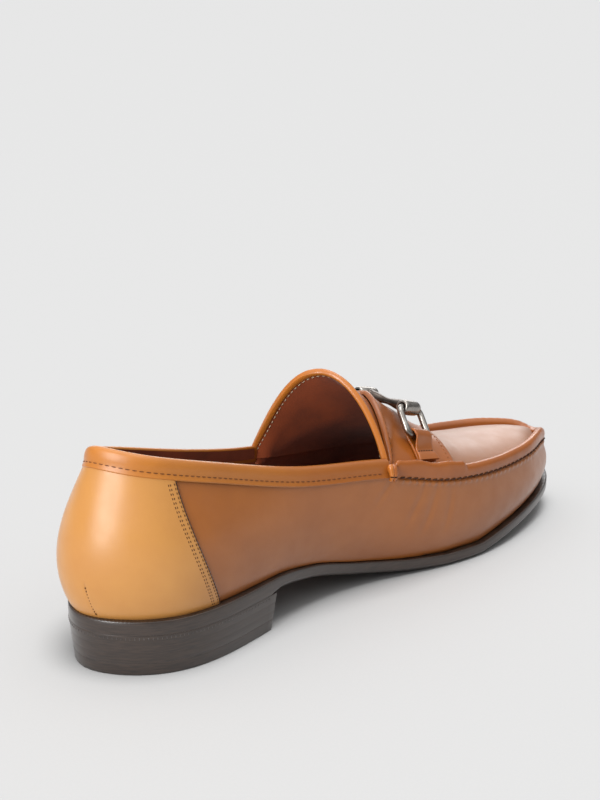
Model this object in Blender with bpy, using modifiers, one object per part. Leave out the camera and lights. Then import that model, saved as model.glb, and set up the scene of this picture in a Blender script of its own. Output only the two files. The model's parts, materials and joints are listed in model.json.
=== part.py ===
"""A man's bit loafer, left foot: leather sole and stacked heel, a hollow moccasin upper with a raised seam
around its apron, a bound tongue, a saddle strap, and a metal bit held by two leather tabs.

Metres, +Z up. The toe points to +X, the wearer's left (the outer side) is +Y, and the floor is z = 0.
The origin is on the floor under the middle of the heel.
"""

import math

import bmesh
import bpy
import numpy as np
from mathutils import Matrix, Vector

# Driving sizes of the shoe
SOLE_LENGTH = 0.300      # heel back to toe tip
BALL_WIDTH = 0.094       # across the sole at the ball of the foot
HEEL_WIDTH = 0.070       # across the sole at the heel
HEEL_HEIGHT = 0.0184     # floor to the underside of the outsole, at the heel
HEEL_LENGTH = 0.085      # back of the sole to the heel's breast
HEEL_MIDDLE = 0.43       # where the part's origin stands, as a share of HEEL_LENGTH
HEEL_TAPER = 0.0017      # how far the heel's foot stands in from its top
BREAST_LEAN = 0.0020     # how far the breast's foot stands behind its top
SOLE_ROUND = 0.0006      # softened corner of sole and heel
TOP_LIFT = 0.0056        # thickness of the bottom lift
SOLE_THICKNESS = 0.0066
TOE_SPRING = 0.0116      # floor to the underside of the toe
SOLE_CHAMFER = 0.0016    # bevel along the lower edge of the sole
CHAMFER_FADE = 0.012     # length over which the bevel dies out at the heel's breast
INSOLE_THICKNESS = 0.0026
LEDGE = 0.0038           # widest strip of sole that shows outside the upper

UPPER_HEIGHT = 0.0960    # floor to the top of the collar at the back
WALL = 0.0020            # leather and lining of the upper
WALL_BULGE = 0.0078      # widest swell of the wall past a straight line
SWELL_DROP = 0.8         # under 1, the wall's swell is widest below half its height
BAND_HEIGHT = 0.0084     # collar band
BAND_STEP = 0.0009       # how far the band stands out from the wall
BAND_LEAN = 0.0018       # how far the band leans in towards the ankle
COUNTER_STEP = 0.0008    # how far the heel counter stands out from the quarter
LIP = 0.0009             # small lip of the vamp under the apron seam
RIDGE_HEIGHT = 0.0066    # raised seam around the apron
RIDGE_WIDTH = 0.0046
SADDLE_RIDGE = 0.0090    # height of the raised seam where it holds the saddle

INSTEP_RISE = 0.048      # height of the tongue's tip over its two corners
TONGUE_FLARE = 0.0045    # how far the tongue's outer corner is turned out
TONGUE_THICKNESS = 0.0020
BINDING = 0.0005         # how far the tongue's bound edge stands out on each face
BINDING_WIDTH = 0.0030
ROLL_SHOULDER = 0.12     # rounded part of a binding or roll, as a share of its width
PROBE = 0.2              # rows over which the length of a row is measured
SADDLE_THICKNESS = 0.0018
SADDLE_ROLL = 0.0007     # extra thickness of the saddle's rolled rear edge

BIT_ASIDE = -0.0030      # the bar's middle in Y: it lies 3 mm to the inner side of the shoe's axis
BIT_SPAN = 0.029         # between the middles of the bit's two sleeves
BIT_LIFT = 0.0017        # bar over the crown of the saddle
BAR_END = 0.0056         # diameter of the bar beside a sleeve
BAR_MIDDLE = 0.0032      # diameter of the bar at its middle
BAR_TAPER = 0.85         # share of half the bar over which it grows to its end's diameter
SLEEVE_DIAMETER = 0.0072
SLEEVE_LENGTH = 0.0088
SLEEVE_LIP = (0.86, 0.72)  # rounded mouth of a sleeve: share of its radius, and where it starts along it
BORE_REACH = 1.6         # how far the bore's cutter reaches past the middle, in half sleeves
WIRE = 0.0028            # diameter of the ring's wire
WIRE_CLEARANCE = 0.0004
RING_LENGTH = 0.0165     # ring, from the middle of one leg to the middle of the other
RING_CORNER = 0.0036
TAB_WIDTH = 0.0115
TAB_LEATHER = 0.0013
TAB_TAIL = 0.0115        # stitched end of a tab, from the middle of the ring's wire
TAB_ASIDE = 0.0205       # from the bar's middle to where each tab turns round its ring
TAB_BACK = 0.0045        # how far the tabs lie behind the bar
TAB_CLOSING = 0.75       # share of the tail over which the tab's two layers come together

GAP = 0.0003             # between pieces that touch
ON_SADDLE = 3 * GAP + SADDLE_THICKNESS

# Stations around the foot, from the back of the heel along the inner side to the toe and back along the
# outer side. Lengths are shares of SOLE_LENGTH, widths of the shoe's width there, heights of UPPER_HEIGHT,
# swells of WALL_BULGE and ledges of LEDGE. The seam is the collar band's lower edge and, from the throat
# forwards, the apron's seam.
STATIONS = (
    # sole_x, sole_y, seam_x, seam_y, seam_z, swell, ledge
    (0.000, -0.063, 0.035, -0.050, 0.912, 1.00, 0.60),
    (0.022, -0.293, 0.050, -0.214, 0.910, 1.00, 0.85),
    (0.100, -0.523, 0.100, -0.369, 0.872, 0.92, 0.95),
    (0.217, -0.526, 0.217, -0.410, 0.763, 0.67, 0.84),
    (0.360, -0.373, 0.360, -0.404, 0.645, 0.38, 0.42),
    (0.500, -0.310, 0.507, -0.395, 0.581, 0.41, 0.37),
    (0.600, -0.380, 0.600, -0.423, 0.505, 0.49, 0.68),
    (0.700, -0.430, 0.700, -0.426, 0.454, 0.49, 0.95),
    (0.800, -0.404, 0.797, -0.381, 0.429, 0.46, 1.00),
    (0.883, -0.332, 0.873, -0.315, 0.423, 0.41, 1.00),
    (0.943, -0.245, 0.927, -0.226, 0.408, 0.38, 1.00),
    (0.983, -0.138, 0.958, -0.149, 0.381, 0.40, 1.00),
    (1.000, -0.016, 0.970, -0.069, 0.361, 0.40, 1.00),
    (0.987, 0.112, 0.958, 0.011, 0.379, 0.45, 1.00),
    (0.947, 0.239, 0.927, 0.090, 0.405, 0.54, 1.00),
    (0.883, 0.362, 0.870, 0.191, 0.412, 0.67, 1.00),
    (0.800, 0.479, 0.787, 0.277, 0.414, 0.79, 1.00),
    (0.690, 0.564, 0.683, 0.330, 0.445, 0.87, 1.00),
    (0.573, 0.525, 0.573, 0.345, 0.486, 0.82, 0.95),
    (0.467, 0.430, 0.440, 0.362, 0.533, 0.69, 0.84),
    (0.350, 0.427, 0.343, 0.377, 0.589, 0.62, 0.74),
    (0.217, 0.421, 0.217, 0.336, 0.698, 0.72, 0.85),
    (0.100, 0.386, 0.100, 0.257, 0.811, 0.92, 0.80),
    (0.022, 0.180, 0.052, 0.114, 0.867, 1.00, 0.60),
)
ROUND = len(STATIONS)
TOE = ROUND // 2

# Underside of the outsole along the foot: heel seat and shank as shares of HEEL_HEIGHT, then the flat
# tread, then the toe as shares of TOE_SPRING
HEEL_SEAT = ((0.00, 1.03), (0.17, 1.00), (0.29, 0.98), (0.37, 0.80), (0.47, 0.38), (0.56, 0.11), (0.635, 0.0))
FOREPART = ((0.715, 0.0), (0.76, 0.20), (0.83, 0.45), (0.92, 0.72), (1.00, 1.00))

# Arches over the instep, from the tongue's bound edge to the toe. Stations count along the inner side;
# the crown is a share of SOLE_LENGTH, of BALL_WIDTH and of INSTEP_RISE over the arch's two feet; foot is
# how far inside the seam the arch stands, as a share of RIDGE_WIDTH.
ARCHES = (
    # row, inner, outer, crown_x, crown_y, rise, squareness, foot, flare
    (-1.0, 5.00, 4.78, 0.468, -0.020, 1.000, 0.80, 0.20, 1.0),
    (-0.5, 5.01, 4.96, 0.540, -0.030, 0.640, 0.76, 1.08, 0.0),
    (0.0, 5.05, 5.05, 0.602, -0.040, 0.362, 0.76, 1.00, 0.0),
    (1.0, 6.00, 6.00, 0.652, -0.048, 0.250, 0.78, 1.00, 0.0),
    (2.0, 7.00, 7.00, 0.717, -0.053, 0.165, 0.90, 1.00, 0.0),
    (3.0, 8.00, 8.00, 0.800, -0.055, 0.120, 1.00, 1.00, 0.0),
    (4.0, 9.00, 9.00, 0.874, -0.060, 0.078, 1.00, 1.00, 0.0),
    (5.0, 10.00, 10.00, 0.928, -0.066, 0.046, 1.00, 1.00, 0.0),
    (6.0, 11.00, 11.00, 0.959, -0.069, 0.024, 1.00, 1.00, 0.0),
    (7.0, 12.00, 12.00, 0.972, -0.069, 0.000, 1.00, 1.00, 0.0),
)
TONGUE_END = -0.06
TONGUE_STEPS = 6
BINDING_ROWS = 0.42      # most rows that the binding may take, where the rows lie close together
SADDLE_ROWS = (-0.42, 1.54)
SADDLE_BETWEEN = (-0.12, 0.0, 0.28, 0.67, 1.05, 1.35)
SADDLE_REACH = 0.950     # how far the saddle's ends reach across the instep, to the raised seam
BIT_PLACE = 0.607        # how far forward the bar lies, as a share of SOLE_LENGTH
ARCH_BEND = 2.1

# The raised seam from the groove of its stitches over the top to the apron: out and up as shares of
# RIDGE_WIDTH and of the ridge's height, beside the saddle and in front of it
RIDGE = (
    # saddle_out, saddle_up, out, up, wall_out, wall_up
    (0.24, 0.08, 0.22, 0.12, -0.10, 0.10),
    (0.30, 0.48, 0.28, 0.48, -0.22, 0.19),
    (0.24, 0.86, 0.16, 0.80, -0.36, 0.26),
    (0.02, 1.00, -0.14, 0.99, -0.52, 0.32),
    (-0.22, 0.92, -0.50, 0.95, -0.68, 0.38),
    (-0.26, 0.34, -0.80, 0.74, -0.84, 0.42),
    (-1.00, 0.33, -1.00, 0.45, -1.00, 0.45),
)

# Rows of the wall from sole to seam, and of the collar band from seam to top edge
WALL_ROWS = (0.0, 0.12, 0.28, 0.45, 0.62, 0.78, 0.90, 0.955, 1.0)
LIP_ROW = 7
BAND_ROWS = ((0.03, 1.0), (0.50, 1.15), (0.88, 0.9), (1.0, 0.1))

# Columns of the wall, in stations along either side, counted from the back of the heel
REAR_COLUMNS = (0, 0.33, 0.67, 1, 1.33, 1.67, 1.95, 2.18, 2.22, 2.5, 2.85, 3.2, 3.6, 4.0, 4.35)
INNER_THROAT = (4.65, 4.905)
OUTER_THROAT = (4.62, 4.85)
FORE_COLUMNS = (5.05, 5.35, 5.70, 6.05, 6.35, 6.57, 6.63, 6.90, 7.25, 7.60, 7.95, 8.30, 8.65, 9.0, 9.35,
                9.70, 10.0, 10.35, 10.70, 11.0, 11.33, 11.67)
COUNTER_EDGE = 2.20      # station of the counter's front edge, at the collar
COUNTER_SLANT = 0.42     # how many stations further forward it meets the sole
SLANT_REACH = 1.6        # stations over which the wall's columns lean with that edge
RIDGE_CHANGE = 6.60      # station where the saddle's front edge meets the seam
RIDGE_STEP = 0.05        # stations over which the raised seam steps down there
ACROSS = 12
SOLE_STATIONS = (0, 0.25, 0.5, 0.75, 1, 1.33, 1.67, 2, 2.5, 3, 3.3, 3.65, 4, 4.4, 4.8, 5.2, 5.6, 6, 6.3, 6.6,
                 6.9, 7.25, 7.6, 8, 8.33, 8.67, 9, 9.33, 9.67, 10, 10.33, 10.67, 11, 11.33, 11.67, 12)


def smooth(x, table):
    """A smooth line through the rows of a short table, with no bump between equal values."""
    xs = [row[0] for row in table]
    ys = [row[1] for row in table]
    if x <= xs[0]:
        return ys[0]
    if x >= xs[-1]:
        return ys[-1]
    i = max(k for k in range(len(xs) - 1) if xs[k] <= x)
    slopes = [(ys[k + 1] - ys[k]) / (xs[k + 1] - xs[k]) for k in range(len(xs) - 1)]

    def tangent(k):
        if k == 0 or k == len(xs) - 1:
            return slopes[min(k, len(slopes) - 1)]
        before, after = slopes[k - 1], slopes[k]
        return 0.0 if before * after <= 0 else 2 * before * after / (before + after)

    step = xs[i + 1] - xs[i]
    u = (x - xs[i]) / step
    return (ys[i] * (1 + 2 * u) * (1 - u) ** 2 + ys[i + 1] * u * u * (3 - 2 * u)
            + tangent(i) * step * u * (1 - u) ** 2 - tangent(i + 1) * step * u * u * (1 - u))


def ease(x):
    x = min(1.0, max(0.0, x))
    return x * x * (3 - 2 * x)


def width_at(share):
    """The width that the shares across the foot are taken of: the heel's, the ball's or between."""
    return HEEL_WIDTH + (BALL_WIDTH - HEEL_WIDTH) * ease((share - 0.25) / 0.30)


def real_stations():
    rows = []
    for sole_x, sole_y, seam_x, seam_y, seam_z, swell, ledge in STATIONS:
        rows.append((sole_x * SOLE_LENGTH, sole_y * width_at(sole_x), seam_x * SOLE_LENGTH,
                     seam_y * width_at(seam_x), seam_z * UPPER_HEIGHT, swell * WALL_BULGE, ledge * LEDGE))
    return np.array(rows)


class Loop:
    """A closed curve, smooth to its second derivative, through rows of numbers; read by row number."""

    def __init__(self, rows):
        count = len(rows)
        ahead = np.roll(rows, -1, axis=0)
        span = np.linalg.norm((ahead - rows)[:, :2], axis=1)
        system = np.zeros((count, count))
        pull = np.zeros_like(rows)
        for i in range(count):
            before, after = span[i - 1], span[i]
            system[i, i - 1] += before
            system[i, i] += 2 * (before + after)
            system[i, (i + 1) % count] += after
            pull[i] = 6 * ((ahead[i] - rows[i]) / after - (rows[i] - rows[i - 1]) / before)
        self.rows, self.span, self.curl = rows, span, np.linalg.solve(system, pull)

    def at(self, station):
        count = len(self.rows)
        i = int(math.floor(station)) % count
        b = station - math.floor(station)
        a, j, step = 1 - b, (i + 1) % count, self.span[i]
        return (a * self.rows[i] + b * self.rows[j]
                + ((a ** 3 - a) * self.curl[i] + (b ** 3 - b) * self.curl[j]) * step * step / 6)

    def outward(self, station, first):
        """The level direction that points out of the foot, for the curve in two of the columns."""
        step = 0.02
        run = (self.at(station + step) - self.at(station - step))[first:first + 2]
        return Vector((run[1], -run[0], 0.0)).normalized()


LAST = Loop(real_stations())
ORIGIN = Vector((HEEL_LENGTH * HEEL_MIDDLE, 0.0, 0.0))


def underside(x):
    """Height of the outsole's underside, x measured from the back of the sole."""
    share = x / SOLE_LENGTH
    if share < HEEL_SEAT[-1][0]:
        return smooth(share, HEEL_SEAT) * HEEL_HEIGHT
    return smooth(share, FOREPART) * TOE_SPRING


def sole_edge(station, inset, height):
    """A point at the sole's edge, moved in by inset, at a height over the underside."""
    point = LAST.at(station)
    place = Vector((point[0], point[1], 0)) - LAST.outward(station, 0) * inset
    place.z = underside(place.x) + height
    return place


def seam(station):
    point = LAST.at(station)
    return Vector((point[2], point[3], point[4]))


def wall_point(station, rise):
    """The wall's outer face: rise runs from 0 at the sole to 1 at the seam."""
    forward = COUNTER_SLANT * (1 - rise) * ease(1 - abs(abs(side(station)) - COUNTER_EDGE) / SLANT_REACH)
    foot = station + math.copysign(forward, side(station))
    swell, ledge = LAST.at(foot)[5:7]
    start = sole_edge(foot, ledge, SOLE_THICKNESS + GAP)
    out = LAST.outward(foot, 0)
    return start.lerp(seam(station), rise) + out * swell * math.sin(math.pi * rise ** SWELL_DROP)


def side(station):
    """Stations from the back of the heel, positive along the inner side and negative along the outer."""
    return station if station <= TOE else station - ROUND


def row_of(station):
    """The row of arches that stands at a station of the inner side, in front of the throat."""
    throat, ahead = FORE_COLUMNS[0], math.ceil(FORE_COLUMNS[0])
    return (station - throat) / (ahead - throat) if station < ahead else station - ahead + 1


ARCH_ROWS = [arch[0] for arch in ARCHES]
ARCH_LINES = [list(zip(ARCH_ROWS, column)) for column in list(zip(*ARCHES))[3:]]


def arch_numbers(row):
    """The table's columns at any row."""
    stations = [float(np.interp(row, ARCH_ROWS, [arch[k] for arch in ARCHES])) for k in (1, 2)]
    return stations + [smooth(row, line) for line in ARCH_LINES]


def instep(row, across):
    """A point of the instep's outer face: row along the foot, across from -1 at the inner seam to 1."""
    inner, outer, crown_x, crown_y, rise, squareness, foot, flare = arch_numbers(row)
    ends = []
    for station in (inner, ROUND - outer):
        inward = LAST.outward(station, 2) * -foot * RIDGE_WIDTH
        ends.append(seam(station) + inward + Vector((0, 0, foot * RIDGE[-1][5] * RIDGE_HEIGHT)))
    foot_height = (ends[0].z + ends[1].z) / 2
    crown = Vector((crown_x * SOLE_LENGTH, crown_y * BALL_WIDTH, foot_height + rise * INSTEP_RISE))
    end = ends[0] if across < 0 else ends[1]
    turn = abs(across) * math.pi / 2
    reach = math.sin(turn) ** (2 / ARCH_BEND)
    climb = max(0.0, math.cos(turn)) ** (2 * squareness)
    point = crown + (end - crown) * reach
    point.z = end.z + (crown.z - end.z) * climb
    if across > 0:
        point += LAST.outward(ROUND - outer, 2) * TONGUE_FLARE * flare * (1 - climb) ** 3
    return point


def instep_normal(row, across):
    step_row, step_across = 0.02, 0.02
    along = instep(min(row + step_row, ARCHES[-1][0] - 0.01), across) - instep(row - step_row, across)
    aside = instep(row, min(1, across + step_across)) - instep(row, max(-1, across - step_across))
    return along.cross(aside).normalized()


class Skin:
    """A leather wall: a smooth surface, and how far its outer and inner faces stand out from it."""

    def __init__(self):
        self.places, self.raised, self.sunk, self.faces = [], [], [], []

    def point(self, place, raised=0.0, sunk=0.0):
        self.places.append(place)
        self.raised.append(raised)
        self.sunk.append(sunk)
        return len(self.places) - 1

    def strip(self, first, second):
        """Faces between two lines of points, of which the second lies ahead or to the right."""
        for corners in zip(first, second, second[1:], first[1:]):
            self.faces.append([c for k, c in enumerate(corners) if c not in corners[:k]])

    def solid(self, name, thickness, over=0.0):
        """The closed body, with its inner face at a height over the smooth surface."""
        surface = bmesh.new()
        verts = [surface.verts.new(place) for place in self.places]
        for corners in self.faces:
            surface.faces.new([verts[k] for k in corners])
        surface.normal_update()
        normals = [v.normal.copy() for v in verts]
        surface.free()
        outer, inner = [], []
        for place, normal, raised, sunk in zip(self.places, normals, self.raised, self.sunk):
            lift = raised if isinstance(raised, Vector) else normal * raised
            outer.append(place + normal * over + lift)
            inner.append(place + normal * (over - thickness - sunk))
        count = len(verts)
        faces = [list(corners) for corners in self.faces]
        faces += [[k + count for k in reversed(corners)] for corners in self.faces]
        edges = {(a, b) for corners in self.faces for a, b in zip(corners, corners[1:] + corners[:1])}
        faces += [[b, a, a + count, b + count] for a, b in sorted(edges) if (b, a) not in edges]
        return mesh_object(name, outer + inner, faces)


def mesh_object(name, points, faces):
    mesh = bpy.data.meshes.new(name)
    mesh.from_pydata([tuple(place - ORIGIN) for place in points], [], faces)
    mesh.shade_smooth()
    mesh.set_sharp_from_angle(angle=math.radians(40))
    return bpy.data.objects.new(name, mesh)


def plate(name, levels, stations, across=6):
    """A closed body between outlines, the first on top. A level gives the inner and outer edge point of a
    station. The caps are rows from side to side, and a last row of more than one point is a flat end."""
    points, faces, loops, caps = [], [], [], []
    for number, level in enumerate(levels):
        rows = []
        for station in stations:
            inner, outer = level(station)
            steps = across if (inner - outer).length > 1e-6 else 0
            row = []
            for k in range(steps + 1):
                if k in (0, steps) or station == stations[-1] or number in (0, len(levels) - 1):
                    points.append(inner.lerp(outer, k / max(1, steps)))
                    row.append(len(points) - 1)
            rows.append(row)
        loops.append([row[0] for row in rows[:-1]] + rows[-1] + [row[-1] for row in rows[-2:0:-1]])
        caps.append(rows)
    for upper, lower in zip(loops, loops[1:]):
        for k in range(len(upper)):
            n = (k + 1) % len(upper)
            faces.append([upper[k], lower[k], lower[n], upper[n]])
    for rows, flip in ((caps[0], False), (caps[-1], True)):
        for row, ahead in zip(rows, rows[1:]):
            for k in range(max(len(row), len(ahead)) - 1):
                corners = [row[min(k, len(row) - 1)], ahead[min(k, len(ahead) - 1)],
                           ahead[min(k + 1, len(ahead) - 1)], row[min(k + 1, len(row) - 1)]]
                corners = [c for i, c in enumerate(corners) if c not in corners[:i]]
                faces.append(corners[::-1] if flip else corners)
    return mesh_object(name, points, faces)


def both_sides(edge):
    return lambda station: (edge(station), edge(ROUND - station))


# Outsole and insole

def outsole():
    def chamfer(station):
        past_heel = (LAST.at(station)[0] - HEEL_LENGTH) / CHAMFER_FADE
        return SOLE_CHAMFER * ease(past_heel + 0.5) + 2 * SOLE_ROUND / 3

    return plate("outsole", [both_sides(edge) for edge in (
        lambda s: sole_edge(s, SOLE_ROUND, SOLE_THICKNESS),
        lambda s: sole_edge(s, 0.0, SOLE_THICKNESS - SOLE_ROUND),
        lambda s: sole_edge(s, 0.0, chamfer(s)),
        lambda s: sole_edge(s, chamfer(s), 0.0),
    )], SOLE_STATIONS)


def insole():
    def edge(station, height):
        ledge = LAST.at(station)[6]
        return sole_edge(station, ledge + WALL + 2 * GAP, SOLE_THICKNESS + GAP + height)

    levels = [both_sides(lambda s: edge(s, INSOLE_THICKNESS)), both_sides(lambda s: edge(s, 0.0))]
    return plate("insole", levels, SOLE_STATIONS, 4)


# Heel: a stack of lifts under the seat, and the bottom lift

def heel_ends():
    """The stations on the inner and the outer side where the heel's breast cuts the sole's edge."""
    ends = []
    for step in (0.01, -0.01):
        station = 2.0 if step > 0 else ROUND - 2.0
        while LAST.at(station)[0] < HEEL_LENGTH:
            station += step
        ends.append(station)
    return ends


def heel_side(station, share_down, height):
    """A point on the heel's side, which tapers towards the floor."""
    point = sole_edge(station, HEEL_TAPER * share_down, 0.0)
    point.x = min(point.x, HEEL_LENGTH - BREAST_LEAN * share_down)
    point.z = underside(point.x) - GAP if height is None else height
    return point


def heel_blocks():
    inner_end, outer_end = heel_ends()

    def level(height, inset=0.0):
        share = 0.0 if height is None else 1 - height / HEEL_HEIGHT

        def sides(part):
            stations = (part * inner_end, ROUND - part * (ROUND - outer_end))
            places = [heel_side(station, share, height) for station in stations]
            middle = Vector((HEEL_LENGTH / 2, 0, 0))
            for place in places:
                inward = Vector((middle.x - place.x, middle.y - place.y, 0)).normalized()
                place += inward * inset
            return places
        return sides

    parts = (0, 0.06, 0.12, 0.19, 0.27, 0.36, 0.46, 0.58, 0.72, 0.86, 1.0)
    stack = plate("heel_stack", [level(None), level(TOP_LIFT + GAP)], parts)
    lift = plate("top_lift", [level(TOP_LIFT), level(SOLE_ROUND), level(0.0, SOLE_ROUND)], parts)
    return stack, lift


# Upper: wall, collar band, raised seam and apron in one skin

def upper():
    skin = Skin()
    outer_side = REAR_COLUMNS[1:] + OUTER_THROAT + FORE_COLUMNS
    columns = [*REAR_COLUMNS, *INNER_THROAT, *FORE_COLUMNS, TOE] + [ROUND - s for s in reversed(outer_side)]
    walls = {}
    for station in columns:
        away = abs(side(station))
        counter = COUNTER_STEP if away < COUNTER_EDGE else 0.0
        walls[station] = []
        for k, rise in enumerate(WALL_ROWS):
            lip = LIP if k == LIP_ROW and away >= FORE_COLUMNS[0] else 0.0
            raised = max(counter, lip) if rise > 0 else LAST.outward(station, 0) * counter
            walls[station].append(skin.point(wall_point(station, rise), raised))
    for station, ahead in zip(columns, columns[1:] + columns[:1]):
        skin.strip(walls[station], walls[ahead])
    add_collar(skin, walls)
    add_apron(skin, walls)
    return skin.solid("upper", WALL)


def add_collar(skin, walls):
    """The band round the collar, from throat to throat; it stands out from the wall below it. On the outer
    side it ends further back, under the tongue's turned-out corner."""
    outer_side = REAR_COLUMNS[1:] + OUTER_THROAT[:1]
    stations = [ROUND - s for s in reversed(outer_side)] + [*REAR_COLUMNS, *INNER_THROAT]
    lines = []
    for station in stations:
        foot, out = seam(station), LAST.outward(station, 2)
        line = [walls[station][-1]]
        for rise, step in BAND_ROWS:
            place = foot + Vector((0, 0, BAND_HEIGHT * rise)) - out * BAND_LEAN * rise
            line.append(skin.point(place, step * BAND_STEP))
        lines.append(line)
    for first, second in zip(lines, lines[1:]):
        skin.strip(first, second)


def add_apron(skin, walls):
    """The raised seam over each column, and the rows of the apron from side to side."""
    ridges = {}
    for station in FORE_COLUMNS:
        for place in (station, ROUND - station):
            ridges[place] = ridge_line(skin, place, walls[place][-1])
    ridges[TOE] = ridge_line(skin, TOE, walls[TOE][-1])
    order = list(FORE_COLUMNS) + [TOE] + [ROUND - s for s in reversed(FORE_COLUMNS)]
    for station, ahead in zip(order, order[1:]):
        skin.strip(ridges[station], ridges[ahead])
    rows = []
    for station in FORE_COLUMNS:
        inside = [skin.point(instep(row_of(station), 2 * k / ACROSS - 1)) for k in range(1, ACROSS)]
        rows.append([ridges[station][-1]] + inside + [ridges[ROUND - station][-1]])
    for row, ahead in zip(rows, rows[1:]):
        skin.strip(row, ahead)
    skin.strip(rows[-1], [ridges[TOE][-1]] * len(rows[-1]))


def ridge_line(skin, station, first):
    """Points of the raised seam over one column, from the groove of its stitches to the apron's edge."""
    foot, out = seam(station), LAST.outward(station, 2)
    fore = ease((abs(side(station)) - RIDGE_CHANGE) / RIDGE_STEP + 0.5)
    line = [first]
    for saddle_out, saddle_up, fore_out, fore_up, base_out, base_up in RIDGE:
        base = foot + out * base_out * RIDGE_WIDTH + Vector((0, 0, base_up * RIDGE_HEIGHT))
        sideways = (saddle_out + (fore_out - saddle_out) * fore) * RIDGE_WIDTH
        up = saddle_up * SADDLE_RIDGE * (1 - fore) + fore_up * RIDGE_HEIGHT * fore
        line.append(skin.point(base, foot + out * sideways + Vector((0, 0, up)) - base))
    return line


# Tongue and saddle, both laid on the instep's own surface

def tongue():
    skin = Skin()
    tip = ARCH_ROWS[0]
    steps = [2 * k / ACROSS - 1 for k in range(ACROSS + 1)]
    lines = []
    for across in steps:
        speed = (instep(tip + PROBE, across) - instep(tip, across)).length / PROBE
        bound = min(BINDING_ROWS, BINDING_WIDTH / speed)
        line = [skin.point(instep(tip, across), 0.0, 0.0)]
        for share in (ROLL_SHOULDER, 1 - ROLL_SHOULDER):
            line.append(skin.point(instep(tip + bound * share, across), BINDING, BINDING))
        for k in range(TONGUE_STEPS + 1):
            row = tip + bound + (TONGUE_END - tip - bound) * k / TONGUE_STEPS
            line.append(skin.point(instep(row, across)))
        lines.append(line)
    for first, second in zip(lines, lines[1:]):
        skin.strip(second, first)
    return skin.solid("tongue", TONGUE_THICKNESS)


def saddle():
    skin = Skin()
    first, last = SADDLE_ROWS
    steps = [-SADDLE_REACH] + [2 * k / ACROSS - 1 for k in range(1, ACROSS)] + [SADDLE_REACH]
    lines = []
    for across in steps:
        speed = (instep(first + PROBE, across) - instep(first, across)).length / PROBE
        roll = min(PROBE, BINDING_WIDTH / speed)
        line = [skin.point(instep(first, across), -SADDLE_ROLL)]
        for share in (ROLL_SHOULDER, 1 - ROLL_SHOULDER):
            line.append(skin.point(instep(first + roll * share, across), SADDLE_ROLL))
        line += [skin.point(instep(row, across)) for row in (first + roll, *SADDLE_BETWEEN, last)]
        lines.append(line)
    for first, second in zip(lines, lines[1:]):
        skin.strip(second, first)
    return skin.solid("saddle", SADDLE_THICKNESS, 2 * GAP + SADDLE_THICKNESS)


# Bit: a bar with a sleeve at each end, a ring through each sleeve, and a leather tab around each ring

def instep_at(x, y):
    """The instep's point and normal over a place in plan."""
    row, across = 0.4, math.copysign(0.4, y - BIT_ASIDE)
    for _ in range(12):
        here = instep(row, across)
        by_row = (instep(row + 0.01, across) - here) / 0.01
        by_across = (instep(row, across + 0.01) - here) / 0.01
        area = by_row.x * by_across.y - by_row.y * by_across.x
        dx, dy = x - here.x, y - here.y
        row = max(SADDLE_ROWS[0], row + (dx * by_across.y - dy * by_across.x) / area)
        across += (dy * by_row.x - dx * by_row.y) / area
        across = max(-0.99, min(0.99, across))
    return instep(row, across), instep_normal(row, across)


def down_the_saddle(start, direction, distances):
    """Points and normals along a strap that lies on the saddle, at distances from a point of the instep."""
    base, normal = instep_at(start.x, start.y)
    found, gone = [], 0.0
    for distance in distances:
        tangent = (direction - normal * direction.dot(normal)).normalized()
        ahead = base + tangent * (distance - gone)
        base, normal = instep_at(ahead.x, ahead.y)
        gone = distance
        found.append((base + normal * ON_SADDLE, normal))
    return found


def bit_places():
    """For the inner and the outer ring: middle of its sleeve, middle of its other side, its length's run."""
    bar_x = BIT_PLACE * SOLE_LENGTH
    crown = instep_at(bar_x, BIT_ASIDE)[0]
    radius = WIRE / 2 + WIRE_CLEARANCE + TAB_LEATHER
    places = []
    for turn in (-1, 1):
        height = crown.z + ON_SADDLE + BIT_LIFT + BAR_MIDDLE / 2
        sleeve = Vector((bar_x, BIT_ASIDE + turn * BIT_SPAN / 2, height))
        foot, normal = instep_at(bar_x - TAB_BACK, BIT_ASIDE + turn * TAB_ASIDE)
        eye = foot + normal * (ON_SADDLE + radius)
        down = (eye - sleeve).normalized()
        run = Vector((1, 0, 0)) - normal * normal.x
        run = (run - down * run.dot(down)).normalized()
        short = 0.0
        for along in (-TAB_WIDTH / 2, TAB_WIDTH / 2):
            edge = instep_at(foot.x + run.x * along, foot.y + run.y * along)[0]
            short = max(short, (edge - foot - run * along).dot(normal))
        places.append((sleeve, eye + normal * short, run))
    return places


def frame_at(origin, x_axis, y_axis):
    """A placing with its X and Y along two square directions."""
    z_axis = x_axis.cross(y_axis)
    turn = Matrix((x_axis, y_axis, z_axis)).transposed().to_4x4()
    return Matrix.Translation(origin - ORIGIN) @ turn


def turned(name, profile, steps, placing):
    """A profile of radius and height, top to bottom, turned about the local Z."""
    mesh = bpy.data.meshes.new(name)
    points = [(radius, 0.0, height) for radius, height in profile]
    mesh.from_pydata(points, [(k, k + 1) for k in range(len(points) - 1)], [])
    thing = bpy.data.objects.new(name, mesh)
    thing.matrix_world = placing
    screw = thing.modifiers.new("turn", "SCREW")
    screw.steps = screw.render_steps = steps
    screw.use_merge_vertices = True
    screw.merge_threshold = 0.00001
    screw.use_smooth_shade = True
    return thing


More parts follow.
